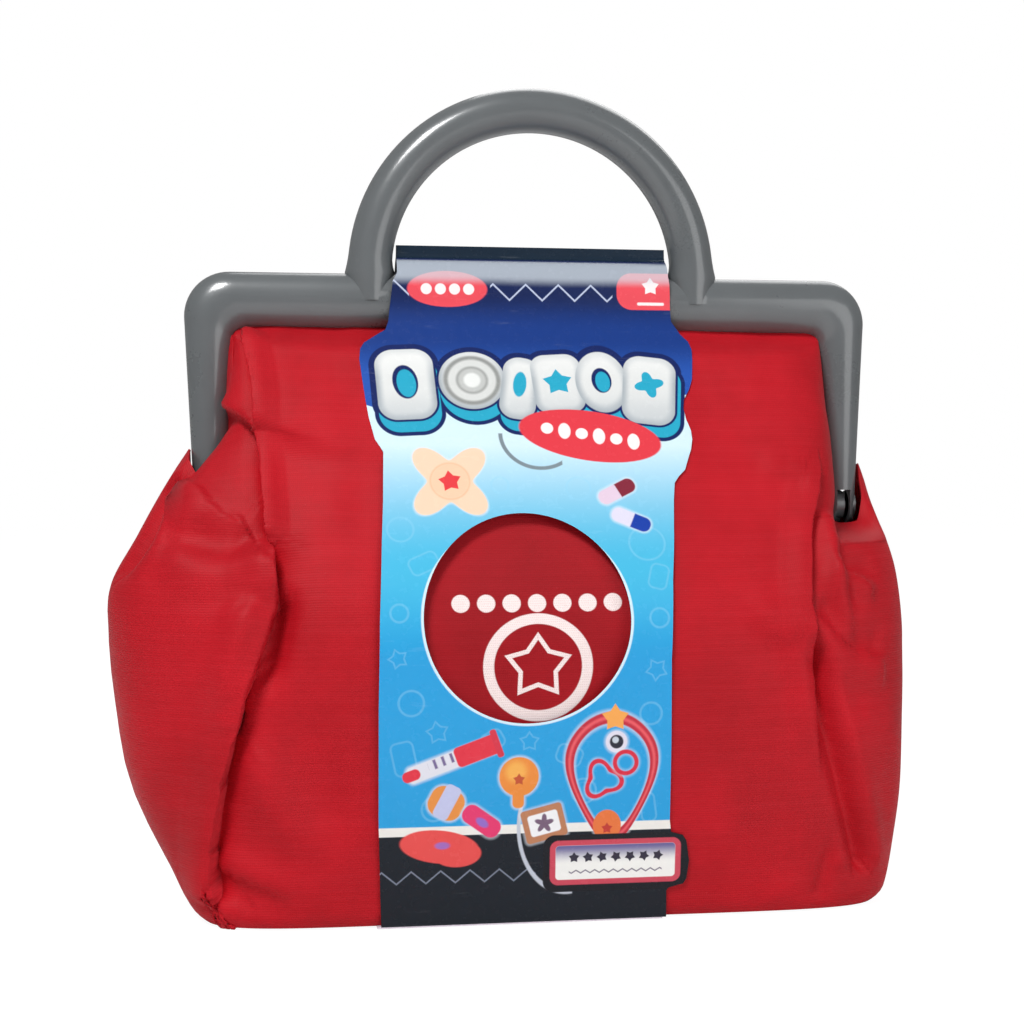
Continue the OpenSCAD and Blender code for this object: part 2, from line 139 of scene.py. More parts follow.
class Paint:
    """One procedural material."""

    def __init__(self, name, **constants):
        self.mat = bpy.data.materials.new(name)
        self.mat.use_nodes = True
        self.tree = self.mat.node_tree
        self.shader = self.tree.nodes["Principled BSDF"]
        for key, value in constants.items():
            self.shader.inputs[key.replace("_", " ")].default_value = value

    def node(self, kind, *args, out=0, ins=None, **props):
        """Adds a node: its settings first, then its sockets by number or name."""
        ins = dict(enumerate(args)) | (ins or {})
        ins = {key: value.out if isinstance(value, Sock) else value for key, value in ins.items()}
        return Sock(self, add_node(self.tree, kind, ins, **props).outputs[out])

    def drive(self, name, sock):
        self.tree.links.new(sock.out, self.shader.inputs[name])

    def place(self):
        """Object coordinates."""
        return self.node("TexCoord", out=3)

    def uv(self):
        return self.node("UVMap", uv_map="cloth")

    def split(self, vector):
        n = self.node("SeparateXYZ", vector)
        return [Sock(self, o) for o in n.out.node.outputs]

    def seen_from(self, at, x, y, turn=0.0, sx=1.0, sy=1.0):
        """The place as seen from x, y, turned by degrees and measured in sx and sy."""
        c, s = math.cos(math.radians(turn)), math.sin(math.radians(turn))
        if turn:
            at = self.node("CombineXYZ", at.along(c, s), at.along(-s, c))
        offset = ((-x * c - y * s) / sx, (x * s - y * c) / sy, 0)
        return self.node("VectorMath", at, (1 / sx, 1 / sy, 0), offset, operation="MULTIPLY_ADD")

    def noise(self, vector, scale, detail=3.0, rough=0.5):
        return self.node("TexNoise", ins={"Vector": vector, "Scale": scale, "Detail": detail, "Roughness": rough})

    def stretch(self, vector, scale):
        return self.node("Mapping", ins={"Vector": vector, "Scale": scale})

    def mix(self, fac, a, b):
        return self.node("Mix", data_type="RGBA", out=2, ins={0: fac, 6: a, 7: b})

    def wrap(self, value, period):
        return self.node("Math", value, period, 0.0, operation="WRAP")

    def bump(self, height, strength, distance, normal=None):
        ins = {"Height": height, "Strength": strength, "Distance": distance, "Normal": normal}
        return self.node("Bump", ins=ins)


def rgb(r, g, b):
    """A display colour, 0 to 255, as linear values."""
    f = [c / 255 for c in (r, g, b)]
    return tuple([c / 12.92 if c < 0.04045 else ((c + 0.055) / 1.055) ** 2.4 for c in f] + [1.0])


def toned(colour, k):
    return tuple(min(1.0, c * k) for c in colour[:3]) + (1.0,)


def moulded_plastic(name, colour, rough):
    """Grey moulded plastic: faint flow lines, fine orange peel and rubbed edges."""
    p = Paint(name, Specular_IOR_Level=0.5, Coat_Weight=0.6, Coat_Roughness=0.13)
    at = p.place()
    cloud = p.noise(at, 22.0, 4.0, 0.55)
    fine = p.noise(at, 900.0, 2.0)
    flow = p.noise(p.stretch(at, (30.0, 30.0, 220.0)), 1.0, 2.0)
    base = p.mix(cloud.ramp(0.3, 0.7), toned(colour, 0.93), toned(colour, 1.06))
    rub = p.noise(at, 160.0, 3.0, 0.7).ramp(0.62, 0.8) * 0.14
    base = p.mix(rub, base, toned(colour, 1.5))
    p.drive("Base Color", base)
    p.drive("Roughness", cloud.ramp(0.25, 0.75, rough - 0.04, rough + 0.07) + fine * 0.04)
    p.drive("Normal", p.bump(fine * 0.7 + flow * 0.6, 0.12, 0.00025))
    return p.mat


def steel():
    """Turned bright steel with faint stains."""
    p = Paint("hinge_steel_finish", Metallic=1.0)
    at = p.place()
    turned = p.noise(p.stretch(at, (2600.0, 80.0, 80.0)), 1.0, 2.0)
    stain = p.noise(at, 240.0, 3.0)
    p.drive("Base Color", p.mix(stain, rgb(150, 152, 155), rgb(200, 202, 204)))
    p.drive("Roughness", turned.ramp(0.2, 0.8, 0.24, 0.42))
    p.drive("Normal", p.bump(turned, 0.15, 0.0001))
    return p.mat


WEAVE = (0.00052, 0.00066)  # pitch of the threads across and up, in metres


def weave(p, at, pitch_u, pitch_v):
    """Height of a plain weave with strong crosswise ribs, 0 to 1, and the rib part of it."""
    u, v, _ = p.split(at)
    wobble = p.noise(at, 160.0, 2.0) * 0.9
    row = v * (math.tau / pitch_v) + wobble
    col = u * (math.tau / pitch_u) + wobble
    rib = row.op("SINE") * 0.5 + 0.5
    thread = (col + (row * 0.5).op("SINE") * 1.2).op("SINE") * 0.5 + 0.5
    return rib * 0.62 + thread * 0.38, rib


def red_cloth(name, lit=(198, 17, 33), shade=(176, 12, 26), mark=None):
    """Close-woven nylon: crosswise ribs, a soft sheen, faint streaks, rubbed lint and painted shade in the weave's
    hollows; with a mark, white ink and painted shade on the cloth behind the sleeve's window.
    """
    p = Paint(name, Sheen_Weight=0.08, Sheen_Roughness=0.4, Specular_IOR_Level=0.2)
    p.shader.inputs["Sheen Tint"].default_value = rgb(255, 150, 155)
    at = p.uv()
    height, rib = weave(p, at, *WEAVE)
    cloud = p.noise(at, 26.0, 4.0, 0.6)
    streak = p.noise(p.stretch(at, (26.0, 900.0, 1.0)), 1.0, 3.0)
    lint = p.noise(at, 1400.0, 2.0).ramp(0.66, 0.82)
    base = p.mix(cloud.ramp(0.3, 0.72), rgb(*shade), rgb(*lit))
    base = p.mix(streak.ramp(0.35, 0.75) * 0.07, base, rgb(226, 56, 72))
    # painted shade: the weave's hollows between the threads are darkened towards deep red
    base = p.mix((1 - height) * 0.22, base, rgb(120, 8, 18))
    base = p.mix(lint * 0.05, base, rgb(250, 170, 170))
    rough = cloud.ramp(0.2, 0.8, 0.5, 0.6)
    if mark:
        ink, window_shade = mark(p, at)
        # painted shade: the cloth behind the sleeve's window is darkened towards deep red
        base = p.mix(window_shade * 0.42, base, rgb(112, 5, 14))
        worn = p.noise(at, 700.0, 3.0, 0.7)
        cover = ink * height.ramp(0.04, 0.3, 0.72, 1.0) * worn.ramp(0.2, 0.42, 0.86, 1.0)
        base = p.mix(cover, base, rgb(250, 232, 230))
        rough = rough - cover * 0.06
        height = height + cover * 0.5
    p.drive("Base Color", base)
    p.drive("Roughness", rough + (1 - rib) * 0.06)
    p.drive("Normal", p.bump(height, 0.32, 0.00016, p.bump(cloud, 0.08, 0.004)))
    return p.mat


# ---------------------------------------------------------------- mesh helpers
def deselect():
    if bpy.context.mode != "OBJECT":
        bpy.ops.object.mode_set(mode="OBJECT")
    bpy.ops.object.select_all(action="DESELECT")


def only(obj):
    deselect()
    obj.select_set(True)
    bpy.context.view_layer.objects.active = obj
    return obj


def modify(obj, kind, **props):
    """Adds one modifier with these settings and applies it."""
    only(obj)
    m = obj.modifiers.new(kind.lower(), kind)
    for key, value in props.items():
        setattr(m, key, value)
    bpy.ops.object.modifier_apply(modifier=m.name)
    return obj


def named(name):
    """Gives the active object and its mesh this name."""
    obj = bpy.context.active_object
    obj.name = obj.data.name = name
    return obj


def settle(obj):
    """Puts the object's place into its mesh."""
    only(obj)
    bpy.ops.object.transform_apply(location=True, rotation=True, scale=True)
    return obj


def skin(name, points, uv=None, close=False, caps=False, flip=False):
    """A sheet of quads from rows of points in mm. close joins the last column to the first."""
    points = np.asarray(points, float)
    if close:
        points = np.concatenate([points, points[:, :1]], 1)
    rows, cols = points.shape[:2]
    deselect()
    bpy.ops.mesh.primitive_grid_add(x_subdivisions=cols - 1, y_subdivisions=rows - 1, size=1)
    obj = named(name)
    me = obj.data
    me.vertices.foreach_set("co", (points * MM).astype(np.float32).ravel())
    me.update()
    if uv is not None:
        while me.uv_layers:
            me.uv_layers.remove(me.uv_layers[0])
        layer = me.uv_layers.new(name="cloth")
        index = np.empty(len(me.loops), int)
        me.loops.foreach_get("vertex_index", index)
        uv = np.asarray(uv, float).reshape(-1, 2)[index] * MM
        layer.data.foreach_set("uv", uv.astype(np.float32).ravel())
    only(obj)
    bpy.ops.object.mode_set(mode="EDIT")
    bpy.ops.mesh.select_all(action="SELECT")
    if close:
        bpy.ops.mesh.remove_doubles(threshold=1e-6)
    if caps:
        bpy.ops.mesh.select_all(action="DESELECT")
        bpy.ops.mesh.select_mode(type="EDGE")
        bpy.ops.mesh.select_non_manifold()
        bpy.ops.mesh.edge_face_add()
        bpy.ops.mesh.select_mode(type="VERT")
        bpy.ops.mesh.select_all(action="SELECT")
        bpy.ops.mesh.normals_make_consistent(inside=False)
    elif flip:
        bpy.ops.mesh.flip_normals()
    bpy.ops.object.mode_set(mode="OBJECT")
    return obj


def join(name, *objs):
    deselect()
    for o in objs:
        o.select_set(True)
    bpy.context.view_layer.objects.active = objs[0]
    bpy.ops.object.join()
    return named(name)


def cut(obj, tool, how="DIFFERENCE"):
    modify(obj, "BOOLEAN", object=tool, operation=how, solver="EXACT")
    bpy.data.objects.remove(tool)
    return obj


def smooth(obj, angle=35.0):
    only(obj)
    bpy.ops.object.shade_smooth_by_angle(angle=math.radians(angle))
    return obj


def paint(obj, *mats):
    obj.data.materials.clear()
    for m in mats:
        obj.data.materials.append(m)
    return obj


def turn_over(me, axis):
    """Mirrors a mesh along an axis, with its faces turned the right way."""
    co = np.empty(len(me.vertices) * 3, np.float32)
    me.vertices.foreach_get("co", co)
    co[axis::3] *= -1
    me.vertices.foreach_set("co", co)
    me.flip_normals()


def mirrored(obj, name, axis):
    """A mirrored copy with its own mesh."""
    only(obj)
    bpy.ops.object.duplicate()
    new = named(name)
    turn_over(new.data, axis)
    return new


def round_bar(name, x, y, z, length, r, n, along_x=True):
    """A round bar centred at x, y, z, in mm, along X or else along Y."""
    deselect()
    turn = (0, math.pi / 2, 0) if along_x else (math.pi / 2, 0, 0)
    bpy.ops.mesh.primitive_cylinder_add(vertices=n, radius=r * MM, depth=length * MM,
                                        location=(x * MM, y * MM, z * MM), rotation=turn)
    return settle(named(name))


def rod(x, w, r, n=40):
    """A round bar on the hinge's axis, from x to x + w."""
    return round_bar("rod", x + w / 2, 0, PIN_Z, w, r, n)


def block(x0, x1, y0, y1, z0, z1):
    """A box between these limits, in mm, to cut with."""
    deselect()
    middle = ((x0 + x1) / 2 * MM, (y0 + y1) / 2 * MM, (z0 + z1) / 2 * MM)
    bpy.ops.mesh.primitive_cube_add(size=MM, location=middle)
    obj = named("block")
    obj.scale = (x1 - x0, y1 - y0, z1 - z0)
    return settle(obj)


def ease(t):
    """Smooth step from 0 to 1."""
    t = np.clip(t, 0, 1)
    return t * t * (3 - 2 * t)


def mix(a, b, t):
    return a + (b - a) * t


def weld(obj, distance, outward=False):
    """Merges points nearer than distance, in metres, and shades the mesh smooth."""
    only(obj)
    bpy.ops.object.mode_set(mode="EDIT")
    bpy.ops.mesh.select_all(action="SELECT")
    bpy.ops.mesh.remove_doubles(threshold=distance)
    if outward:
        bpy.ops.mesh.normals_make_consistent(inside=False)
    bpy.ops.object.mode_set(mode="OBJECT")
    bpy.ops.object.shade_smooth()


def arc_length(points):
    """Distance along a line at each of its points."""
    return np.concatenate([[0], np.cumsum(np.linalg.norm(np.diff(points, axis=0), axis=1))])


# ---------------------------------------------------------------- the frame
TOP_IN = BAR_LOW - R_IN  # where the inner edge of a leg turns into the bar's


def leg_out(z):
    return HALF_W - LEAN * (TOP - R_OUT - z) / (TOP - R_OUT - PIN_Z)


def leg_in(z):
    return leg_out(z) - mix(LEG_LOW, LEG_TOP, (z - PIN_Z) / (TOP_IN - PIN_Z))


def u_stations(z0, legs=10, arc=16, bar=30):
    """Outer and inner edge points of the U, from the left leg's end to the right one's."""
    side = []
    for f in np.linspace(0, 1, legs):
        zo, zi = mix(z0, TOP - R_OUT, f), mix(z0, TOP_IN, f)
        side.append(((leg_out(zo), zo), (leg_in(zi), zi)))
    x_in = leg_in(TOP_IN) - R_IN
    for a in np.linspace(0, math.pi / 2, arc)[1:]:
        c, s = math.cos(a), math.sin(a)
        side.append(((HALF_W - R_OUT + R_OUT * c, TOP - R_OUT + R_OUT * s), (x_in + R_IN * c, TOP_IN + R_IN * s)))
    side = np.array(side)
    left = side * np.array([-1, 1])
    middle = [mix(left[-1], side[-1], f) for f in np.linspace(0, 1, bar + 1)[1:-1]]
    return np.concatenate([left, np.array(middle), side[::-1]])


def swept(name, path, inset, depth, n=40, start=GAP):
    """A D section along matched edge points, drawn in by inset on both edges."""
    a = np.linspace(0, math.pi, n + 1)
    rows = []
    for outer, inner in path:
        c, h = (outer + inner) / 2, (outer - inner) / 2
        h = h * (1 - inset / np.linalg.norm(h))
        y = -(start + (depth - start) * np.sin(a))
        rows.append(np.stack([c[0] + h[0] * np.cos(a), y, c[1] + h[1] * np.cos(a)], 1))
    return skin(name, rows, close=True, caps=True)


def arch_path(z0, a0=0.0, a1=180.0, steps=72, flare=1.0):
    """Edge points of the handle, from its right foot over the arch to its left one."""
    def half_width(above_bar):
        return HALF_D + flare * max(0, 1 - above_bar / 6) ** 2

    foot = [(z, half_width(abs(z - TOP))) for z in np.linspace(z0, ARCH_Z, 10)[:-1]]
    out = [((ARCH_R + w, z), (ARCH_R - w, z)) for z, w in foot] if a0 == 0.0 else []
    for a in np.radians(np.linspace(a0, a1, steps + 1)):
        c, s = math.cos(a), math.sin(a)
        w = half_width((ARCH_Z - TOP) + ARCH_R * s)
        out.append((((ARCH_R + w) * c, ARCH_Z + (ARCH_R + w) * s), ((ARCH_R - w) * c, ARCH_Z + (ARCH_R - w) * s)))
    if a1 == 180.0:
        for z in np.linspace(ARCH_Z, z0, 10)[1:]:
            w = half_width(abs(z - TOP))
            out.append(((-ARCH_R - w, z), (-ARCH_R + w, z)))
    return np.array(out)


def both(make):
    """What make builds on the right, and its mirror image on the left, as one object."""
    right = make()
    return join("pair", right, mirrored(right, "left", 0))


KNUCKLE_X = EAR_X + EAR_T + (SLOT_W - KNUCKLE_W) / 3
CUT_Y = (-2 * HALF_D, 1.0)  # front to back of what is cut away at the leg's end


def end_span(fork):
    """First x and width of what is left of the right leg's end."""
    return (EAR_X - 3, LEG_LOW + 6) if fork else (KNUCKLE_X, KNUCKLE_W)


def end_sides(fork):
    """Cuts the slot of the fork, or both sides of the knuckle."""
    z0 = PIN_Z - 2 * END_R
    if fork:
        return block(EAR_X + EAR_T, EAR_X + EAR_T + SLOT_W, *CUT_Y, z0, CUT_Z)
    x0, w = end_span(fork)
    inner, outer = (EAR_X - 3, x0), (x0 + w, EAR_X + LEG_LOW + 3)
    return join("sides", block(*inner, *CUT_Y, z0, CUT_Z), block(*outer, *CUT_Y, z0, CUT_Z))


def end_corner(fork):
    """Cuts the square end of the leg to a round one."""
    x0, w = end_span(fork)
    corner = block(x0 - 0.01, x0 + w + 0.01, *CUT_Y, PIN_Z - 2 * END_R - 1, PIN_Z)
    return cut(corner, rod(x0 - 1, w + 2, END_R, 64))


def end_barrel(fork):
    """The round eyes of the fork, or the knuckle between them."""
    if not fork:
        return rod(KNUCKLE_X, KNUCKLE_W, KNUCKLE_R, 64)
    far = EAR_X + EAR_T + SLOT_W
    return join("eyes", rod(EAR_X + 0.3, EAR_T - 0.3, KNUCKLE_R, 64),
                rod(far, LEG_LOW - EAR_T - SLOT_W - 0.3, KNUCKLE_R, 64))


CHAMBERS, RIB_HALF = 9, 0.85  # hollow parts of the handle, and half a rib between them in degrees


def half_frame(name, fork):
    """The U with its open channel, half of the handle with ribs across it, and the hinge ends."""
    body = swept(name, u_stations(PIN_Z - END_R), 0, HALF_D)
    cut(body, swept("grip", arch_path(BAR_LOW + BAR_H / 2), 0, HALF_D + 0.4), "UNION")
    deep = HALF_D - WALL
    cut(body, swept("channel", u_stations(CUT_Z + WALL), WALL, deep, start=-0.5))
    step, tools = 180.0 / CHAMBERS, []
    for i in range(CHAMBERS):
        lo = i * step + RIB_HALF if i else 0.0
        hi = (i + 1) * step - RIB_HALF if i < CHAMBERS - 1 else 180.0
        tools.append(swept(f"way{i}", arch_path(TOP - 1.0, lo, hi, 8, 0.0), WALL, deep, 24, -0.5))
    cut(body, join("ways", *tools))
    cut(body, both(lambda: end_sides(fork)))
    cut(body, both(lambda: end_corner(fork)))
    cut(body, both(lambda: end_barrel(fork)), "UNION")
    return cut(body, both(lambda: rod(EAR_X - 1, LEG_LOW + 2, PIN_R + (0.0 if fork else 0.08))))


def hem_roll(name):
    """The bag's folded hem, a soft puckered roll in the bottom of the channel."""
    a = np.linspace(0, math.tau, 25)[:-1]
    rows = []
    for i, (outer, inner) in enumerate(u_stations(CUT_Z + 2 * WALL, 22, 16, 90)):
        c, h = (outer + inner) / 2, (outer - inner) / 2
        half = np.linalg.norm(h)
        h = h * ((half - WALL) * 0.76 / half)
        puff = 1 + 0.07 * noise.noise(Vector((i * 0.31, 0, 0))) + 0.05 * math.sin(i * 1.9)
        flat = np.sign(np.cos(a)) * np.abs(np.cos(a)) ** 0.75
        y = -2.95 + 0.68 * puff * np.sign(np.sin(a)) * np.abs(np.sin(a)) ** 0.9
        rows.append(np.stack([c[0] + h[0] * flat, y, c[1] + h[1] * flat], 1))
    rows = np.array(rows)
    u, v = measure(rows)
    seam = np.stack([u[:, -1:] + 0.6, v[:, -1:]], -1)
    place = np.concatenate([np.stack([u, v], -1), seam], 1)
    return skin(name, rows, place, close=True, caps=True)


def screw(x, z):
    """A flat cross-slotted screw head, let into the clamp."""
    head = round_bar("head", x, -0.27, z, 0.34, 2.1, 48, along_x=False)
    head = modify(head, "BEVEL", width=0.12 * MM, segments=2)
    cut(head, block(x - 1.3, x + 1.3, -0.28, 0.1, z - 0.26, z + 0.26))
    return cut(head, block(x - 0.27, x + 0.27, -0.275, 0.1, z - 1.32, z + 1.32))


# ---------------------------------------------------------------- the bag
def swell(z, a, b, c):
    """A half size at height z, from a at the ground over b at the belly to c at the rim."""
    return np.where(z < BELLY_Z, a + (b - a) * np.sin(np.pi / 2 * np.clip(z, 0, BELLY_Z) / BELLY_Z) ** 0.7,
                    b + (c - b) * (1 - np.cos(np.pi / 2 * np.clip((z - BELLY_Z) / (RIM_Z - BELLY_Z), 0, 1))))


RIGHT_W, DEPTH = (98.0, 109.0, 105.5), (43.5, 48.5, 40.0)  # at the ground, the belly and the rim
# the left side hangs fuller: half width by height
LEFT_SIDE = np.array([(0, 98.0), (7, 102.4), (16, 107.6), (24.6, 112.0), (33, 115.4), (42, 117.9), (50.6, 119.5),
                      (59, 120.7), (68, 121.7), (76, 122.4), (85, 122.6), (89, 122.3),
                      (93.4, 121.2), (97.5, 119.2), (101.8, 116.6), (104, 115.3)])


def reach(z, right):
    """Half width at height z."""
    return float(swell(z, *RIGHT_W)) if right else float(np.interp(z, *LEFT_SIDE.T))


def ring(z, n=1600):
    """The bag's outline at height z, from the back's middle round the left, front and right, with arc length."""
    left, right, hd = reach(z, False), reach(z, True), float(swell(z, *DEPTH))
    low = max(0.0, 1 - z / BELLY_Z) ** 1.5
    t = np.linspace(-math.pi, math.pi, n + 1)
    c, s = np.cos(t), np.sin(t)
    e = np.where(s > 0, mix(3.4, 7.0, low), mix(3.4, 6.8, low ** 3))
    x = np.where(s > 0, right, left) * np.sign(s) * np.abs(s) ** (2 / e)
    y = -hd * np.sign(c) * np.abs(c) ** (2 / e)
    arc = np.concatenate([[0], np.cumsum(np.hypot(np.diff(x), np.diff(y)))])
    arc -= np.interp(0.0, t, arc)
    return x, y, arc


# where the left crease, the right fold, and the outer corners of the front sheet lie, by height
CREASE = np.array([(0, -92.5), (8.7, -93.9), (16.4, -94.8), (26, -93.6), (36.7, -91.9), (46, -90.0), (55, -87.8),
                   (66, -85.0), (76, -81.6), (84, -78.2), (92, -76.6), (98, -76.6),
                   (104, -77.0), (110.7, -77.3), (116.2, -77.8), (130, -78.8), (144, -79.8), (152, -81.0),
                   (158.4, -82.2), (166, -84.2)])
FOLD = np.array([(0, 93.0), (6.2, 91.8), (22.7, 87.8), (43, 81.9), (62, 75.5), (74, 72.6), (84, 71.2), (92, 71.4),
                 (104, 73.0), (115.7, 75.2), (124.2, 78.2), (141.4, 80.7), (166, 84.0)])
LEFT_END, RIGHT_END = 104.0, 86.0


def keys(z):
    """Arc length of each key column at height z, from the left mid-side round to it, and the whole way."""
    x, y, arc = ring(z)
    front = y < 0
    at = lambda xx: np.interp(xx, x[front], arc[front])
    left_mid, right_mid = at(x[front].min()), at(x[front].max())
    whole = arc[-1] - arc[0]
    left, right = reach(z, False) / reach(RIM_Z, False), reach(z, True) / reach(RIM_Z, True)
    crease, fold = np.interp(z, *CREASE.T), np.interp(z, *FOLD.T)
    right_end = max(RIGHT_END * right, fold + 4)
    a = [left_mid, at(-LEFT_END * left), at(crease), 0.0, at(fold), at(right_end), right_mid]
    rear = ~front
    xb, ab = x[rear], np.where(arc[rear] < 0, arc[rear] + whole, arc[rear])
    order = np.argsort(xb)
    back_at = lambda xx: np.interp(xx, xb[order], ab[order])
    return [*a, back_at(RIGHT_END * right), back_at(-RIGHT_END * left), left_mid + whole], whole


def spread(stops, counts, dense=""):
    """Columns between the stops, closer together before (b) or after (a) a stop in the spans that say so."""
    out = []
    for a, b, n, how in zip(stops[:-1], stops[1:], counts, dense.ljust(len(counts))):
        f = np.linspace(0, 1, n + 1)[:-1]
        f = {"a": 0.3 * f + 0.7 * f * f, "b": 1 - 0.3 * (1 - f) - 0.7 * (1 - f) ** 2}.get(how, f)
        out.append(mix(a, b, f))
    return np.concatenate(out + [[stops[-1]]])


# columns in each span, in their order; after the back another back_side leads to the first column
COUNTS = {"left": 30, "flap": 30, "front_left": 76, "front_right": 74, "corner": 24, "right": 42,
          "back_side": 40, "back": 92}


def lower_row(z):
    """Points round the bag at height z, in the order of the columns, and their arc lengths."""
    stops, whole = keys(z)
    s = spread(stops, [*COUNTS.values(), COUNTS["back_side"]], " baba")
    x, y, arc = ring(z)
    lo = arc[0]
    w = (s - lo) % whole + lo
    return np.stack([np.interp(w, arc, x), np.interp(w, arc, y), np.full(len(s), z)], 1), s


def column(name):
    """First column of a named span, or of what follows the last one."""
    return sum(list(COUNTS.values())[:[*COUNTS, "last"].index(name)])


TURN_Z, TURN_IN = 4.2, 2.2  # the cloth turns under below this height, by this much at the base seam


def lower_grid():
    """The lower bag from the base seam to the rim, and the place of its weave."""
    zs = np.concatenate([[0.35, 0.8, 1.6, 2.8, TURN_Z], np.linspace(5.8, RIM_Z, 78)])
    rows, arcs = zip(*[lower_row(z) for z in zs])
    pts = np.array(rows)
    pts[..., 2] = zs[:, None]
    turn = np.clip(1 - zs / TURN_Z, 0, 1)[:, None] ** 2 * TURN_IN
    n = pts[..., :2] / np.linalg.norm(pts[..., :2], axis=-1, keepdims=True)
    pts[..., :2] -= n * turn[..., None]
    s = np.array(arcs)
    return pts, np.stack([s, np.repeat(zs[:, None], s.shape[1], 1)], -1)


def path(points, t):
    """A smooth line through points at the stops in their first column."""
    p = np.asarray(points, float)
    dense = np.linspace(p[0, 0], p[-1, 0], 400)
    val = np.stack([np.interp(dense, p[:, 0], p[:, i]) for i in range(1, p.shape[1])], 1)
    k = np.hanning(15)
    k /= k.sum()
    pad = np.concatenate([2 * val[:1] - val[7:0:-1], val, 2 * val[-1:] - val[-2:-9:-1]])
    sm = np.stack([np.convolve(pad[:, i], k, "valid") for i in range(val.shape[1])], 1)
    return np.stack([np.interp(t, dense, sm[:, i]) for i in range(val.shape[1])], -1)


# outer edge of the front sheet, share of the way up and x, y, z: over the left leg's end, beside the right leg
LEFT_EDGE = [(0, -104, -25.4, 104), (0.065, -104.6, -19.5, 111.5), (0.13, -101.8, -11.5, 119.5),
             (0.18, -97.8, -8.6, 123.6), (0.27, -91.4, -8.6, 131.0),
             (0.36, -86.6, -8.4, 138.6), (0.40, -86.8, -8.2, 140.2), (0.435, -91.0, -7.6, 142.6),
             (0.48, -89.4, -6.6, 146), (0.56, -88.4, -4.0, 150.5), (0.66, -88.1, -1.6, 155),
             (0.83, -87.8, -1.0, 160.5), (1.0, -87.4, -1.0, 166.0)]
RIGHT_EDGE = [(0, 86, -32.6, 104), (0.06, 86.4, -25, 105.4), (0.12, 86.8, -15.5, 107.2), (0.18, 87.4, -7.8, 109.4),
              (0.25, 88.4, -3.6, 115),
              (0.5, 88.3, -1.2, 136), (0.8, 88.0, -1.0, 156), (1.0, 87.4, -1.0, 166.0)]
V_TOP = 0.18  # share of the way up where the sheet's edge leaves the lower bag
HEM_Z, HEM_Y = 166.0, 7.95  # height of the sheets' upper edge, and how far forward the cloth stands there
VS = np.concatenate([np.linspace(0, V_TOP, 25), np.linspace(V_TOP, 1, 50)[1:]])


def depth(v):
    """How far forward the cloth's middle stands, share v of the way from rim to bar."""
    return mix(DEPTH[2], HEM_Y, v ** 0.92) + 2.2 * np.sin(math.pi * v)


def sheet_grid(base, left_edge, right_edge, key_left, key_right, i0, i1, ic, im, ir, dense=""):
    """The upper sheet between the legs: rows from the rim to the bar over the lower bag's columns i0 to i1.

    key_left and key_right give x of its two folds by height; they, the middle and the ends are at columns
    ic, ir, im, i0 and i1.
    """
    low = base[i0:i1 + 1]
    rows = []
    for v in VS:
        le, re = path(left_edge, v), path(right_edge, v)
        zc = mix(RIM_Z, HEM_Z, v)
        kl, kr = key_left(mix(le[2], zc, 0.6)), key_right(zc)
        kl = min(kl, -0.1) if kl > le[0] else le[0] * 0.97
        x = spread([le[0], kl, 0.0, kr, re[0]], [ic - i0, im - ic, ir - im, i1 - ir], dense)
        x = mix(low[:, 0], x, ease(v / 0.12))
        side, end = np.where(x < 0, le[1], re[1]), np.where(x < 0, le[0], re[0])
        u = np.clip(np.abs(x / end), 0, 1)
        power = np.where(x < 0, mix(3.6, 12.0, ease((v - 0.3) / 0.3)), mix(4.0, 14.0, ease(v / 0.25)))
        arch = (1 - u ** power) ** (1 / 2.3)
        d = depth(v) - 6.3 * ease((v - 0.85) / 0.15)
        y = -mix(-side, d, arch)
        y0 = low[:, 1] / DEPTH[2] * depth(v)
        y = mix(y0, y, ease(v / 0.3))
        y[0], y[-1] = le[1], re[1]
        z_end = np.where(x < 0, le[2], re[2])
        z = mix(zc, z_end, u ** 4)
        rows.append(np.stack([x, y, z], 1))
    rows = np.array(rows)
    rows[0] = low
    return rows


# along the top of a side, share of the way and x, y, z: right from front to back, over the knuckles' lower end,
# up beside the leg and down again, and left from back to front
RIGHT_TOP = [(0, 87.4, -7.8, 109.4), (0.1, 91.0, -7.8, 107.4), (0.22, 98.0, -7.6, 108.2), (0.36, 99.6, -5.6, 117.0),
             (0.5, 99.9, 0, 126.5), (0.64, 99.7, 5.6, 119.0), (0.78, 98.0, 7.8, 111.4), (0.9, 91.0, 8.0, 110.6),
             (1, 87.4, 7.8, 109.4)]
LEFT_TOP = [(0, -87.4, 7.8, 109.4), (0.1, -91.0, 8.0, 110.6), (0.22, -98.0, 8.6, 115.5), (0.36, -99.9, 6.6, 124.5),
            (0.5, -100.1, 1.0, 130.6), (0.75, -99.8, -6.4, 127.4), (1.0, -97.8, -8.6, 123.6)]
TUCK = (-88.3, -1.2)  # x and y where the turned-in edge ends, inside the left leg


def shoulder_grid(low, start, end, top, full):
    """From the rim to the hinge and the tongue beside the leg, between the side edges of two sheets."""
    n = len(low) - 1
    t = np.linspace(0, 1, n + 1)
    up = path(top, t)
    rows = []
    for j, w in enumerate(np.linspace(0, 1, len(start))):
        row = mix(low, up, w)
        row = row + (start[j] - row[0]) * ((1 - t) ** 3)[:, None] + (end[j] - row[-1]) * (t ** 3)[:, None]
        row[:, 0] += full * math.sin(math.pi * w) * np.sin(math.pi * t)
        row[0], row[-1] = start[j], end[j]
        rows.append(row)
    rows[0] = low
    return np.array(rows)


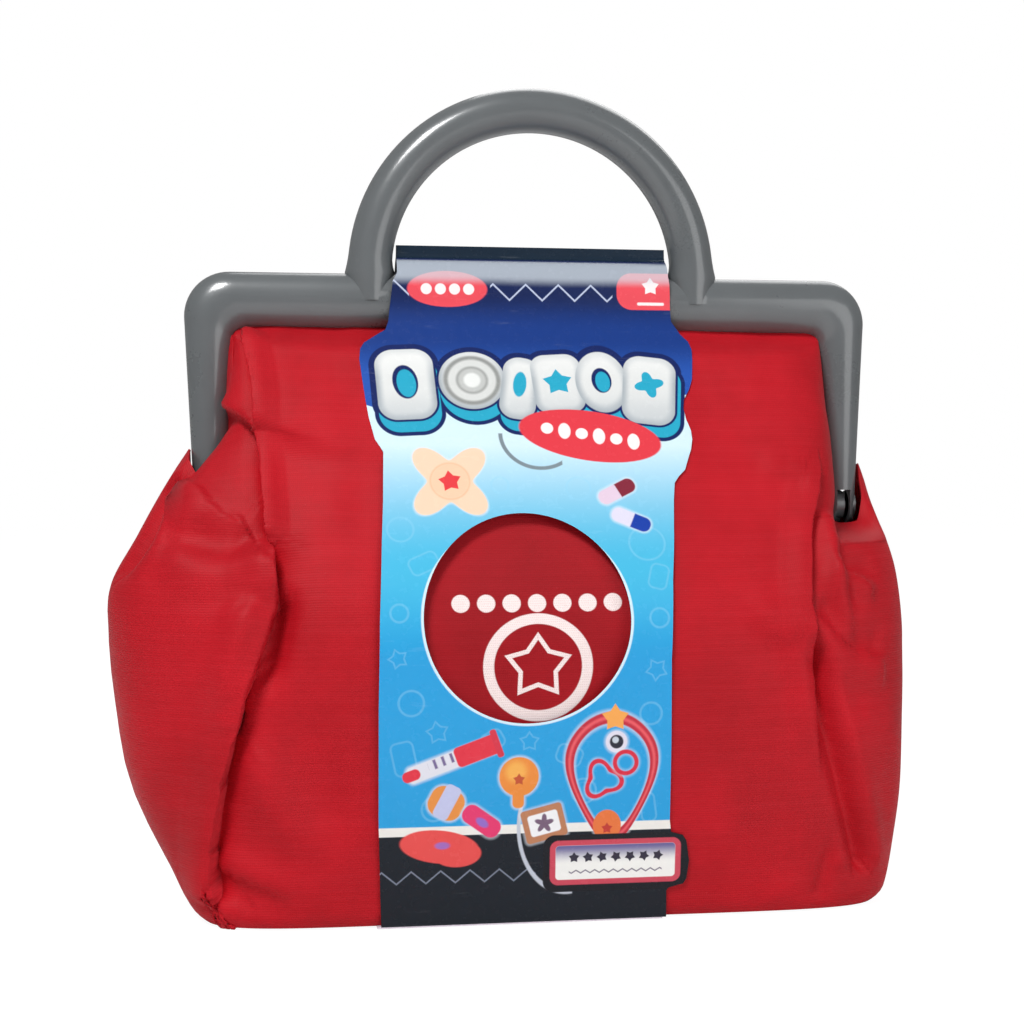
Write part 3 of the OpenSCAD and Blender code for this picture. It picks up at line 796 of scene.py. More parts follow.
# Folds, lengths in mm: kind, points on the cloth, height (minus is a valley), width, length over which the fold
# fades in at its first and at its last point, and how far a fold of the kind "fold" hangs over.
FOLDS = [
    # the long crease between front and left side: above the rim the front rolls over, below it the side does
    ("fold", [(-84.0, -5.5, 164.5), (-82.2, -10.5, 158.4), (-81.0, -14.0, 152.0), (-79.8, -17.8, 144.1),
              (-78.8, -23.5, 130.0), (-77.8, -29.5, 116.2), (-77.3, -33.5, 108.0), (-77.0, -36.6, 101.0)],
     -2.5, 2.2, 1, 9, 1.2),
    ("fold", [(-77.4, -33.6, 107.0), (-76.6, -39.5, 97.6), (-76.9, -43.0, 88.2), (-80.6, -44.1, 77.1),
              (-84.6, -44.0, 65.9), (-87.6, -43.9, 55.2), (-90.0, -43.8, 45.9),
              (-91.9, -43.3, 36.7), (-93.6, -42.5, 26.1), (-94.6, -41.4, 16.4),
              (-93.6, -40.4, 5.0)], 3.4, 4.6, 9, 4, 2.2),
    ("bend", [(-76.8, -43, 94), (-74.6, -44, 86.0), (-77.6, -44.1, 74), (-80.0, -44.0, 62)], -4.6, 4.6, 7, 14, 0.0),
    ("bend", [(-82.0, -41, 92), (-84.6, -42, 82.0), (-88.6, -42.1, 70), (-92.0, -42.0, 56)], 2.4, 5.6, 8, 14, 0.0),
    # the ridge from the left leg's end down the side, and the valley behind it
    ("bend", [(-98.5, -9.5, 123.0), (-104.3, -20.4, 113.0), (-109.5, -28.5, 104.3),
              (-116.0, -24.3, 93.9)], 2.4, 4.0, 5, 14, 0.0),
    ("bend", [(-102.5, -4.5, 122.0), (-108.3, -13.4, 112.0), (-114.1, -17.5, 101.0),
              (-118.5, -15.3, 91.0)], -4.2, 4.5, 5, 10, 0.0),
    ("step", [(-96.5, -12.0, 121.0), (-94.5, -20.0, 115.0), (-88.7, -27.0, 111.0),
              (-81.7, -32.0, 108.5)], 0.9, 5.0, 6, 4, 0.0),
    # the pocket under the flap
    ("step", [(-103.5, -27.0, 107.9), (-98.5, -31.6, 103.2), (-91.0, -35.3, 100.6), (-83.7, -36.6, 102.0),
              (-79.7, -35.5, 104.0)], 2.0, 5.0, 8, 2, 0.0),
    # the soft ridge and pocket at the left base corner
    ("bend", [(-83.8, -44.6, 56.0), (-80.7, -45.3, 44.5), (-77.9, -45.6, 36.7), (-71.9, -45.7, 28.2),
              (-62.0, -45.6, 17.2)], 2.6, 6.0, 14, 16, 0.0),
    ("bend", [(-72.0, -44.6, 68.0), (-67.7, -45.3, 50.5), (-61.9, -45.6, 35.7),
              (-50.0, -45.6, 22.2)], -1.8, 9.0, 18, 18, 0.0),
    ("step", [(-94.3, -41.4, 16.4), (-85.8, -43.3, 14.0), (-77.1, -44.1, 10.6),
              (-70, -44.1, 5.0)], -1.4, 3.4, 2, 10, 0.0),
    ("bend", [(-86.3, -42.7, 5.4), (-82.3, -42.7, 8.0)], -1.6, 2.6, 3, 3, 0.0),
    ("bend", [(-95.8, -42.1, 57.0), (-90.1, -43.1, 58.4), (-87.5, -43.9, 56.0)], 0.6, 2.2, 5, 1, 0.0),
    # the right fold beside the leg and down the panel
    ("fold", [(79.8, -24.0, 130.0), (76.6, -29.5, 117.7), (73.9, -34.0, 108.0), (72.4, -39.5, 99.0),
              (71.3, -44.0, 88.0), (71.8, -46.0, 78.0), (73.0, -46.4, 64.0), (74.5, -46.2, 48.0),
              (75.5, -45.8, 36.0)],
     2.2, 3.4, 10, 34, 0.8),
    # the strong slanting fold of the right side
    ("bend", [(72.6, -46.0, 82.0), (74.6, -46.0, 66.0), (79.4, -45.6, 46.0), (85.4, -44.2, 25.0),
              (89.8, -41.0, 8.0)], -4.4, 3.2, 12, 6, 0.0),
    ("bend", [(76.6, -46.0, 78.0), (80.0, -46.0, 62.0), (86.0, -44.6, 43.0), (91.0, -42.0, 22.7),
              (94.0, -39.0, 8.0)], 2.2, 4.6, 12, 8, 0.0),
    ("bend", [(86.6, -42.8, 60.2), (90.9, -42.8, 45.0), (94.9, -40.1, 30.0)], 1.2, 6.0, 8, 12, 0.0),
    # the folds that run out from the right hinge
    ("bend", [(80.0, -27.7, 113.0), (80.6, -32.8, 106.1), (81.3, -38.0, 99.7), (82.3, -41.5, 90.6),
              (84.1, -43.2, 82.2), (86.7, -43.5, 73.3)], 2.6, 3.0, 5, 8, 0.0),
    ("step", [(80.3, -37.0, 101.7), (87.6, -38.1, 96.9), (97.0, -34.0, 91.8)], 1.8, 3.6, 4, 6, 0.0),
    ("bend", [(84.6, -36.8, 101.1), (87.3, -40.0, 92.7), (89.3, -41.5, 83.6)], -2.2, 3.4, 4, 8, 0.0),
    ("step", [(72.1, -43.8, 88.0), (78.9, -44.5, 79.6), (85.8, -43.3, 73.7), (93.2, -41.4, 72.0),
              (99.9, -36.2, 71.4)], 1.9, 4.2, 6, 6, 0.0),
    ("bend", [(79.3, -44.7, 22.5), (76.7, -44.0, 10.3), (74.4, -43.1, 2.2)], -1.4, 2.4, 8, 2, 0.0),
    ("bend", [(84.3, -44.7, 18.5), (82.7, -44.0, 10.3)], 0.8, 3.6, 6, 4, 0.0),
    ("step", [(60.6, -30.5, 122.3), (68.6, -29.5, 123.1), (75.2, -28.6, 122.5)], -0.6, 3.0, 6, 3, 0.0),
    ("step", [(50.2, -44.1, 92.5), (56.9, -46.9, 80.7), (62.4, -46.7, 77.3),
              (67.2, -46.4, 75.2)], -1.0, 4.2, 12, 3, 0.0),
    ("bend", [(56.2, -44.0, 1.7), (63.6, -44.3, 6.0), (70.4, -44.3, 9.7)], 0.7, 3.0, 6, 4, 0.0),
    # what the view doesn't show: the same slack folds on the right side and the back
    ("bend", [(84.0, 34.0, 108.0), (80.6, 41.8, 92.0), (79.3, 44.5, 74.7),
              (82.3, 44.5, 50.6)], -2.4, 4.0, 8, 14, 0.0),
    ("bend", [(-84.0, 34.0, 108.0), (-81.6, 41.8, 92.0), (-81.3, 44.5, 70.7), (-86.3, 44.5, 40.6),
              (-89, 42, 14)], -2.8, 4.0, 8, 10, 0.0),
    ("bend", [(101.0, 16.0, 104.0), (106.6, 18.8, 92.0), (108.3, 10.5, 70.7),
              (105.3, 4.5, 44.6)], -1.8, 6.0, 10, 14, 0.0),
    ("bend", [(-110.0, 14.0, 104.0), (-116.6, 16.8, 88.0), (-119.3, 8.5, 66.7),
              (-115.3, 2.5, 40.6)], -2.0, 6.0, 10, 14, 0.0),
    ("step", [(-60.0, 44.0, 92.0), (-66.0, 46.8, 76.0), (-78.3, 46.5, 66.7)], 1.2, 5.0, 10, 6, 0.0),
]


def polyline(points, step=1.5):
    """A smooth line with even steps through the points, and arc length along it."""
    p = np.asarray(points, float)
    s = arc_length(p)
    n = max(2, int(s[-1] / step))
    t = np.linspace(0, s[-1], n + 1)
    q = np.stack([np.interp(t, s, p[:, i]) for i in range(3)], 1)
    for _ in range(6):
        q[1:-1] = (q[:-2] + 2 * q[1:-1] + q[2:]) / 4
    return q, t


def fold_cloth(p, n):
    """Moves the points p, with normals n, by every fold, with fine slack over the rest."""
    move = np.zeros_like(p)
    for kind, points, height, width, fade0, fade1, over in FOLDS:
        line, s = polyline(points)
        span = width * 3.4
        near = np.where(np.all((p > line.min(0) - span) & (p < line.max(0) + span), axis=1))[0]
        if not len(near):
            continue
        d2 = ((p[near][:, None] - line[None]) ** 2).sum(-1)
        k = d2.argmin(1)
        gap = p[near] - line[k]
        tangent = np.gradient(line, axis=0)[k]
        tangent /= np.linalg.norm(tangent, axis=1, keepdims=True)
        side = np.cross(tangent, n[near])
        side /= np.maximum(np.linalg.norm(side, axis=1, keepdims=True), 1e-6)
        flat = gap - (gap * n[near]).sum(1)[:, None] * n[near] * 0.6
        q = np.linalg.norm(flat, axis=1) / width  # distance from the fold in widths
        signed = np.sign((gap * side).sum(1)) * q
        fade = ease(s[k] / fade0) * ease((s[-1] - s[k]) / fade1) * ease((3.0 - q) / 0.8)
        if kind == "bend":
            h = np.exp(-q * q)
        elif kind == "step":
            h = signed * np.exp(0.5 - 0.5 * q * q)
        else:
            t = signed * np.sign(height) * width
            up = ease(t / 1.1 + 0.5)
            h = up * np.exp(-((q / 1.7) ** 2)) - (1 - up) * 1.35 * np.exp(-1.1 * q)
            move[near] -= side * (np.sign(height) * over * np.exp(-((t - 0.35) ** 2)) * fade)[:, None]
        move[near] += n[near] * ((abs(height) if kind == "fold" else height) * h * fade)[:, None]
    x, z = p[:, 0], p[:, 2]
    front = p[:, 1] < 0
    calm = np.where(front, ease((np.abs(x - CARD_X) - 44) / 10), ease((np.abs(x) - 44) / 12))
    slack = np.array([1.1 * noise.noise(Vector((a * 0.035, b * 0.05, c * 0.022)))
                      + 0.35 * noise.noise(Vector((a * 0.1 + 7, b * 0.1, c * 0.06))) for a, b, c in p])
    move += n * slack[:, None]
    # it falls back a little behind the sleeve's window
    from_window = np.hypot(x - WINDOW_X, z - WINDOW_Z) / 37.0
    back_off = n * (front * 3.0 * np.exp(-from_window ** 6))[:, None]
    return p + move * (calm * ease(z / 5.0))[:, None] - back_off


def measure(g):
    """Arc lengths across and up a grid, for the weave."""
    du = np.linalg.norm(np.diff(g, axis=1), axis=-1)
    dv = np.linalg.norm(np.diff(g, axis=0), axis=-1)
    u = np.concatenate([np.zeros((g.shape[0], 1)), np.cumsum(du, 1)], 1)
    v = np.concatenate([np.zeros((1, g.shape[1])), np.cumsum(dv, 0)], 0)
    return u, v


def co_of(me):
    """Points of a mesh in mm."""
    co = np.empty(len(me.vertices) * 3)
    me.vertices.foreach_get("co", co)
    return co.reshape(-1, 3) / MM


def put_co(me, co):
    """Moves the points of a mesh to these places in mm."""
    me.vertices.foreach_set("co", (co * MM).ravel())
    me.update()


def normals_of(me):
    n = np.empty(len(me.vertices) * 3)
    me.vertex_normals.foreach_get("vector", n)
    return n.reshape(-1, 3)


RELAX_BAND, RELAX_TOP = 8.0, 121  # how far about the rim the cloth is evened out, and up to what height


def relax(me, turns=40):
    """Evens the cloth out, in and out only, where the lower bag meets what is above it."""
    p, n = co_of(me), normals_of(me)
    e = np.empty(len(me.edges) * 2, int)
    me.edges.foreach_get("vertices", e)
    a, b = e.reshape(-1, 2).T
    count = np.bincount(np.concatenate([a, b]), minlength=len(p))[:, None]
    w = np.exp(-(((p[:, 2] - RIM_Z - 1.0) / RELAX_BAND) ** 2))[:, None] * 0.9
    w[p[:, 2] > RELAX_TOP] = 0
    for _ in range(turns):
        near = np.zeros_like(p)
        np.add.at(near, a, p[b])
        np.add.at(near, b, p[a])
        p += n * (((near / count - p) * n).sum(1)[:, None] * w)
    put_co(me, p)


def thicken(obj, thick):
    """Gives cut cloth its thickness and its lining, shaded by the normals it had before it was cut."""
    modify(obj, "SOLIDIFY", thickness=thick * MM, offset=-1.0, use_even_offset=False, use_rim=True,
           material_offset=1)
    me = obj.data
    want = np.empty(len(me.vertices) * 3)
    me.attributes["drape"].data.foreach_get("vector", want)
    want = want.reshape(-1, 3)
    at, of = np.empty(len(me.loops), int), np.empty(len(me.polygons) * 3)
    me.loops.foreach_get("vertex_index", at)
    me.polygons.foreach_get("normal", of)
    size = np.empty(len(me.polygons), int)
    me.polygons.foreach_get("loop_total", size)
    face = np.repeat(of.reshape(-1, 3), size, 0)
    w = want[at]
    dot = (face * w).sum(1)[:, None]
    custom = np.where(dot > 0.3, w, np.where(dot < -0.3, -w, 0.0))
    me.normals_split_custom_set(custom.tolist())
    me.attributes.remove(me.attributes["drape"])
    return obj


def window_ink_and_shade(p, at):
    """A ringed star over a row of dots in white ink, and painted shade: a darker red over the cloth behind the
    sleeve's window, deepest in the window's middle.
    """
    u, v, _ = p.split(at)
    x = u * 1000.0 + 5.1
    z = v * 1000.0 - 71.0
    r = (x * x + z * z).op("SQRT")
    circle = (abs(r - 13.6) - 1.5).ramp(-0.18, 0.18, 1.0, 0.0)
    angle = p.node("Math", z, x, operation="ARCTAN2") - math.pi / 2
    angle = abs(p.wrap(angle + math.pi / 5, math.tau / 5) - math.pi / 5)
    sx = r * angle.op("COSINE")
    sy = r * angle.op("SINE")
    star = sx * 0.809 + sy * 0.588 * 2.1 - 7.0
    star = (abs(star) - 0.9).ramp(-0.2, 0.2, 1.0, 0.0) * (r - 12.0).ramp(-0.1, 0.1, 1.0, 0.0)
    dz = z - 18.0
    dx = p.wrap(x + 3.5, 7.0) - 3.5
    dots = ((dx * dx + dz * dz).op("SQRT") - 2.5).ramp(-0.18, 0.18, 1.0, 0.0)
    dots = dots * (abs(x) - 24.0).ramp(-0.1, 0.1, 1.0, 0.0)
    # the second mask is painted shade, full in the window's middle and gone a little past its rim
    off = ((x + 2.7) * (x + 2.7) + (z - 11.0) * (z - 11.0)).op("SQRT")
    return circle.high(star).high(dots), off.ramp(14.0, 34.0, 1.0, 0.55) * off.ramp(34.0, 42.0, 1.0, 0.0)


# ---------------------------------------------------------------- the card sleeve
CARD_OFF, CARD_THICK = 0.4, 0.45  # between cloth and card, and the card itself


def card_line():
    """The sleeve's line down the front as y and z, on the cloth's face, from the ground up."""
    z = np.linspace(CARD_T, RIM_Z, 80)
    low = np.stack([-swell(z, *DEPTH) - CARD_OFF, z], 1)
    v = np.linspace(0, 11.0 / 12, 60)[1:]
    mid = np.stack([-depth(v) - CARD_OFF, mix(RIM_Z, BAR_LOW, v)], 1)
    top = np.array([(-6.72, 171.5), (-6.66, 173.2), (-6.5, 176.0), (-6.2, 178.3), (-5.75, 180.4), (-5.1, 182.2),
                    (-4.2, 183.7), (-3.1, 184.7), (-1.9, 185.2), (-0.95, 185.6),
                    (-0.42, 186.3), (-0.2, 187.2), (-0.16, 188.2), (-0.15, FIN_Z)])
    pts = np.concatenate([low, mid, top])
    seg = arc_length(pts)
    t = np.arange(0, seg[-1], 0.5)
    fine = np.stack([np.interp(t, seg, pts[:, i]) for i in range(2)], 1)
    keep = fine.copy()
    for _ in range(10):
        fine[1:-1] = (fine[:-2] + 2 * fine[1:-1] + fine[2:]) / 4
    fine[-12:] = keep[-12:]
    return np.concatenate([fine, [pts[-1]]])


# die-cut edges of the sleeve as (z, x), front and back
NECK = [(181.1, 39.5), (FIN_Z, 39.4)]
FRONT_LEFT = [(0, -48.0), (8, -48.3), (30, -48.8), (60, -48.7), (84, -48.2), (105, -47.1), (116, -46.4),
              (129.2, -45.9), (130.4, -46.6), (132.7, -48.1), (138.3, -49.5),
              (143.9, -50.4), (149.7, -51.1), (155.5, -51.7), (158.5, -51.4), (160.4, -50.2), (162.2, -47.4),
              (164.3, -44.0), (166.7, -43.1), (178.6, -41.6)]
FRONT_RIGHT = [(0, 31.0), (8.2, 30.7), (9.0, 31.4), (10.0, 35.4), (11.4, 36.3), (16.6, 36.9), (22.3, 36.0),
               (23.8, 35.0), (24.8, 31.6), (28, 31.2), (50, 31.3), (72.5, 31.2),
               (83.4, 31.7), (94, 32.4), (105, 33.8), (116, 34.9), (120.6, 35.6), (122.4, 37.0), (124.3, 39.0),
               (127.1, 40.1), (129.9, 41.3), (132.8, 42.0), (135.4, 41.9),
               (138.6, 40.9), (141.8, 40.5), (144.4, 41.0), (147.4, 42.9), (150.3, 44.1), (156.3, 45.0),
               (159.2, 45.2), (161.6, 44.4), (163.8, 42.2), (167.6, 39.8), (178.6, 39.8)]
BACK_LEFT = [(0, -48.3), (84, -48.2), (124, -46.1), (168.6, -43.0), (178.6, -41.6)]
BACK_RIGHT = [(0, 31.2), (84, 31.7), (116, 34.9), (168.6, 39.6), (178.6, 39.8)]


def outline(front):
    """Left and right edge of the sleeve as (z, x), up to the end of its neck."""
    left, right = (FRONT_LEFT, FRONT_RIGHT) if front else (BACK_LEFT, BACK_RIGHT)
    return np.array(left + [(z, -x - 0.8) for z, x in NECK]), np.array(right + NECK)


def card_piece(name, front, print_name, core):
    """Half of the sleeve with its die-cut edges, the window in the front one, and its print."""
    line = card_line()
    left, right = outline(front)
    seg = arc_length(line)
    corners = np.interp(np.concatenate([left[:, 0], right[:, 0]]), line[:, 1], seg)
    stops = np.unique(np.concatenate([np.linspace(0, seg[-1], 170), corners]).round(3))
    y, z = np.interp(stops, seg, line[:, 0]), np.interp(stops, seg, line[:, 1])
    across = np.linspace(0, 1, 61)
    xl, xr = np.interp(z, *left.T), np.interp(z, *right.T)
    x = xl[:, None] + (xr - xl)[:, None] * across
    along = lambda values: np.repeat(values[:, None], len(across), 1)
    obj = skin(name, np.stack([x, along(y), along(z)], -1), np.stack([x, along(stops)], -1))
    only(obj)
    bpy.ops.object.shade_smooth()
    modify(obj, "SOLIDIFY", thickness=CARD_THICK * MM, offset=1.0, use_even_offset=True, use_rim=True,
           material_offset_rim=1)
    if front:
        cut(obj, round_bar("window", WINDOW_X, -45, WINDOW_Z, 30, WINDOW_R, 128, along_x=False))
    else:
        turn_over(obj.data, 1)
    paint(obj, card_print(print_name, (stops, z), front), core)
    return smooth(obj, 40)


# printing inks that come back
NAVY, TEAL, CHALK, RED, CORAL = (22, 38, 96), (42, 168, 200), (252, 240, 240), (226, 52, 70), (236, 80, 92)
MIST, CHERRY = (190, 200, 226), (218, 44, 68)


def card_print(name, lz, front):
    """Coated card with a generic printed design: bands, dots, rings, stars and rounded shapes.

    lz pairs the way up the card with heights; every shape is placed by x and height in mm. A shape's nodes
    have to be made just before they are laid: made all at once, they fill the render's stack.
    """
    p = Paint(name, Specular_IOR_Level=0.22, Coat_Weight=0.2, Coat_Roughness=0.16)
    at = p.uv()
    mm = p.stretch(at, (1000.0, 1000.0, 0.0))
    x, l, _ = p.split(mm)
    up = lambda z: float(np.interp(z, lz[1], lz[0]))
    base = p.mix((l - up(70)).ramp(0.0, up(98) - up(70)), rgb(38, 160, 222), rgb(74, 188, 228))
    pale = ((l - up(97)) / (up(131) - up(97))).high(0.0) ** 1.9
    base = p.mix(pale, base, rgb(214, 239, 251))
    soft = lambda d, e=0.16: d.ramp(-e, e, 1.0, 0.0)

    def lay(col, d, e=0.16, glow=0.0):
        nonlocal base
        if glow:
            base = p.mix(soft(d - 0.5, 0.5) * glow, base, rgb(232, 240, 250))
        base = p.mix(soft(d, e), base, rgb(*col))

    def disc(cx, cz, r, rz=None, turn=0.0):
        m = min(r, rz or r)
        return p.seen_from(mm, cx, up(cz), turn, r, rz or r).length().op("MULTIPLY_ADD", m, -m)

    def box(cx, cz, w, h, r=1.5, turn=0.0):
        v = p.seen_from(mm, cx, up(cz), turn).vec("ABSOLUTE").vec("SUBTRACT", (w / 2 - r, h / 2 - r, 0))
        return v.vec("MAXIMUM", (0, 0, 0)).length() - r

    def polar(cx, cz, turn, n):
        """Radius and folded angle round a centre, for n equal parts."""
        v = p.seen_from(mm, cx, up(cz), turn + 90.0 - 180.0 / n)
        a, b = v.along(1, 0), v.along(0, 1)
        ang = p.wrap(p.node("Math", b, a, operation="ARCTAN2"), math.tau / n)
        return v.length(), abs(ang - math.pi / n)

    def star(cx, cz, r, turn=0.0):
        rr, ang = polar(cx, cz, turn, 5)
        return rr * (ang - 0.969).op("COSINE") * 1.237 - r * 0.70

    def petals(cx, cz, r, n, deep, turn=0.0):
        rr, ang = polar(cx, cz, turn, n)
        return rr - (ang * n).op("COSINE") * deep - r

    def zigzag(z0, cx, period, tall, thick):
        w = abs(p.wrap(x - cx, period) / period - 0.5) * 2.0
        return abs(l - up(z0) - (w - 0.5) * tall) - thick

    # faint printed outlines over the sky: rings, stars, flowers and rounded squares
    ghost = None
    for cx, cz, r in ((-42, 108, 3.6), (26, 104, 5), (-40, 62, 3.4), (25.5, 58, 3.0), (-34, 33, 3.2),
                      (7, 37, 3.4), (28, 84, 2.6), (-43, 86, 2.4), (-14, 120, 2.4), (8, 119, 3.4)):
        d = abs(disc(cx, cz, r)) - 0.3
        ghost = d if ghost is None else ghost.low(d)
    for cx, cz, r, t in ((-33, 54, 3, 10), (27, 70, 3.0, 30), (-43.5, 74, 2.6, 20), (-8, 51, 2.6, 0),
                         (0, 116, 2.4, 12)):
        ghost = ghost.low(abs(star(cx, cz, r, t)) - 0.26)
    for cx, cz, w, h, t in ((-42, 47, 6, 9, 12), (3, 47, 7, 5, -20), (-36, 99, 8, 5, 25), (25, 32, 4, 8, 8),
                            (28.5, 95, 5, 7, -15), (-18, 51.5, 6, 5, 30)):
        ghost = ghost.low(abs(box(cx, cz, w, h, 1.6, t)) - 0.26)
    base = p.mix(soft(ghost, 0.2) * 0.3, base, rgb(150, 214, 243))
    # the dark foot with its white strip
    lay((240, 238, 232), abs(l - up(26.9)) - 1.3)
    base = p.mix((l - up(25.7)).ramp(-0.12, 0.12, 1.0, 0.0), base, rgb(16, 24, 34))
    lay((124, 132, 150), zigzag(14.2, 0, 8.0, 3.4, 0.26).high(x + 6.0), 0.14)
    # the dark head
    edge = (x * 0.12).op("SINE") * 3.2
    base = p.mix((l - up(143.0) + edge).ramp(-0.14, 0.14), base, rgb(40, 86, 176))
    base = p.mix((l - up(150)).ramp(0.0, 14.0), base, rgb(24, 58, 132))
    base = p.mix((l - up(164)).ramp(0.0, 13.0), base, rgb(24, 38, 84))
    base = p.mix((l - up(FOLD_Z + 0.2)).ramp(-0.2, 0.2), base, rgb(24, 40, 56))
    if front:
        # six white rounded shapes with dark edges and a teal drop
        def shapes(dx, dz):
            return [box(-38.9 + dx, 148.4 + dz, 16.6, 23.2, 5.4, 3), disc(-20.0 + dx, 149.6 + dz, 9.5),
                    box(-6.6 + dx, 147.4 + dz, 10.4, 20.5, 4.6, -9), box(4.6 + dx, 148.8 + dz, 14.6, 19.6, 4.4, 4),
                    disc(17.4 + dx, 149.4 + dz, 7.6, 10.2, 4), box(31.0 + dx, 147.0 + dz, 15.4, 22.6, 5.0, -7)]

        def union(parts):
            out = parts[0]
            for d in parts[1:]:
                out = out.low(d)
            return out

        every = shapes(0, 0)
        body, drop = union(every), union(shapes(0.7, -3.0))
        lay(NAVY, body.low(drop) - 1.7)
        lay(TEAL, drop - 0.5)
        lay(NAVY, body - 0.7)
        for d in every:
            lay((170, 178, 184), d)
            base = p.mix(soft(d + 1.3, 1.3), base, rgb(226, 228, 227))
        base = p.mix(soft(body) * (l - up(143)).ramp(-6.0, 6.0, 0.55, 0.0), base, rgb(180, 188, 194))
        base = p.mix(soft(body) * (l - up(152)).ramp(-4.0, 7.0) * 0.6, base, rgb(243, 244, 242))
        lay(NAVY, disc(-39.0, 149.0, 3.6, 5.6, 8))
        lay(TEAL, disc(-38.7, 148.6, 2.7, 4.6, 8))
        for r, tone in ((8.2, 150), (6.9, 218), (4.6, 160), (3.9, 196), (2.4, 236)):
            lay((tone, tone + 2, tone), disc(-20.0, 149.6, r), 0.5)
        lay(TEAL, disc(-6.4, 148.5, 1.9, 4.2, -9))
        lay(TEAL, star(4.6, 149.2, 4.4, 4))
        lay(NAVY, disc(17.4, 149.8, 2.9, 4.2, 4))
        lay(TEAL, disc(17.7, 149.4, 2.1, 3.4, 4))
        lay(TEAL, petals(31.2, 148.6, 3.4, 4, 1.0, 12))
        # coral ovals with plain marks in place of words
        cord = (abs(disc(-2.0, 134.2, 11.0, 10.6)) - 0.55).high(l - up(134.4)).high(x - 4.0)
        lay((128, 142, 150), cord, 0.2)
        lay((228, 62, 74), disc(12.6, 133.8, 20.4, 7.9, -9))
        for i in range(6):
            lay(CHALK, disc(0.4 + 4.9 * i, 135.9 - 0.75 * i, 1.75, 2.5 if i % 2 else 1.75))
        lay(MIST, zigzag(175.8, -3, 9.6, 4.6, 0.32).high(abs(x - 4.6) - 18.0))
        lay(MIST, zigzag(176.6, -3, 9.6, 4.6, 0.32).high(x + 37.0))
        lay(CORAL, disc(-25.9, 176.5, 11.6, 5.3))
        for i in range(4):
            lay(CHALK, disc(-32.0 + 4.1 * i, 176.5, 1.6))
        lay(CORAL, box(33.6, 176.5, 19.4, 11.0, 4.6).low(box(37.5, 176.5, 12.0, 11.0, 0.6)))
        lay(CHALK, star(34.0, 178.0, 2.7))
        lay(CHALK, box(34.0, 172.9, 8.0, 0.9, 0.4))
        # loose motifs on the sky
        lay((252, 214, 186), petals(-27.8, 121.1, 9.8, 4, 3.4, 45), 0.3, 0.5)
        lay((244, 196, 160), abs(disc(-27.8, 121.1, 5.4)) - 0.3, 0.3)
        lay((248, 206, 174), disc(-27.8, 121.1, 5.1), 0.3)
        lay((232, 66, 72), star(-27.8, 121.1, 3.3, 8))
        for cx, cz, t, one, two in ((18.8, 118.2, 28, (230, 206, 226), (134, 44, 62)),
                                    (22.2, 110.4, -24, (226, 222, 242), (30, 66, 168))):
            lay(one, box(cx, cz, 11.4, 4.4, 2.0, t), 0.2, 0.5)
            far = box(cx, cz, 11.4, 4.4, 2.0, t).high(p.seen_from(mm, cx, up(cz), t).along(-1, 0) + 0.4)
            lay(two, far, 0.2)
        # the red loop with its star and beads
        wide = (x - 14.8) / ((l - up(40)).ramp(-17.0, 12.0, 7.6, 13.0))
        tall = (l - up(40.5)) / 16.6
        loop = abs((wide * wide + tall * tall).op("SQRT") - 1.0) * 12.0
        lay((196, 44, 62), loop - 1.15, 0.2, 0.45)
        lay((232, 92, 100), loop - 0.35, 0.3)
        lay((246, 168, 84), star(15.6, 57.0, 3.9), 0.2)
        lay((226, 222, 238), disc(16.0, 50.4, 3.0), 0.2, 0.4)
        lay((40, 40, 56), disc(16.0, 50.4, 1.9), 0.2)
        lay((200, 208, 220), disc(15.7, 50.9, 0.9), 0.2)
        lay(CHERRY, abs(petals(12.2, 40.0, 4.4, 3, 1.0, 20)) - 0.65, 0.2, 0.3)
        lay(CHERRY, abs(disc(18.6, 44.6, 3.0)) - 0.6, 0.2, 0.3)
        # crayon, ball, leaf and button
        lay((226, 226, 236), box(-28.8, 46.4, 26.0, 4.6, 1.4, 20), 0.2, 0.5)
        lay(RED, box(-22.4, 48.8, 12.0, 5.6, 1.2, 20), 0.2)
        lay(RED, box(-40.0, 42.3, 5.0, 3.0, 1.4, 20), 0.2)
        lay((214, 54, 74), box(-16.9, 50.7, 1.8, 8.0, 0.7, 20), 0.2)
        marks = abs(p.wrap(p.seen_from(mm, -30, up(46), 20).along(1, 0), 2.4) - 1.2) - 0.4
        lay((120, 104, 150), marks.high(box(-31.4, 46.2, 8.5, 2.6, 0.6, 20)), 0.2)
        lay((232, 146, 70), box(-30.6, 34.6, 9.6, 8.6, 3.4, -28), 0.2, 0.5)
        lay((196, 200, 234), box(-30.4, 34.9, 9.8, 4.4, 1.2, 62), 0.2)
        lay((230, 58, 112), box(-21.0, 29.4, 11.6, 5.4, 2.4, -36), 0.2, 0.4)
        lay((150, 110, 200), disc(-20.8, 29.0, 1.9, 1.1, -36), 0.3)
        lay((232, 80, 78), disc(-32.4, 22.6, 10.8, 4.6, -7).low(disc(-27.6, 20.6, 6.6, 3.8)), 0.2)
        lay((164, 110, 190), disc(-31.6, 22.9, 2.0, 1.0), 0.3)
        string = (abs(disc(2.6, 27.4, 13.4, 18.6)) - 0.5).high(x - 4.2).high(l - up(33.0))
        lay((196, 202, 214), string, 0.2)
        lay((236, 142, 62), disc(-10.8, 41.4, 5.4).low(box(-11.0, 36.2, 3.2, 7.0, 1.4)), 0.2, 0.5)
        lay((246, 178, 86), disc(-11.6, 42.8, 2.8), 1.4)
        lay((196, 84, 50), star(-10.8, 40.6, 1.7), 0.2)
        lay((190, 128, 92), box(-3.8, 28.3, 11.6, 9.4, 1.0, 14), 0.2, 0.4)
        lay((244, 244, 246), box(-3.8, 28.3, 8.4, 6.0, 0.8, 14), 0.2)
        lay((120, 96, 120), petals(-3.8, 28.3, 2.0, 5, 0.7), 0.3)
        lay((232, 120, 64), disc(13.6, 27.2, 3.9, 4.4), 0.2)
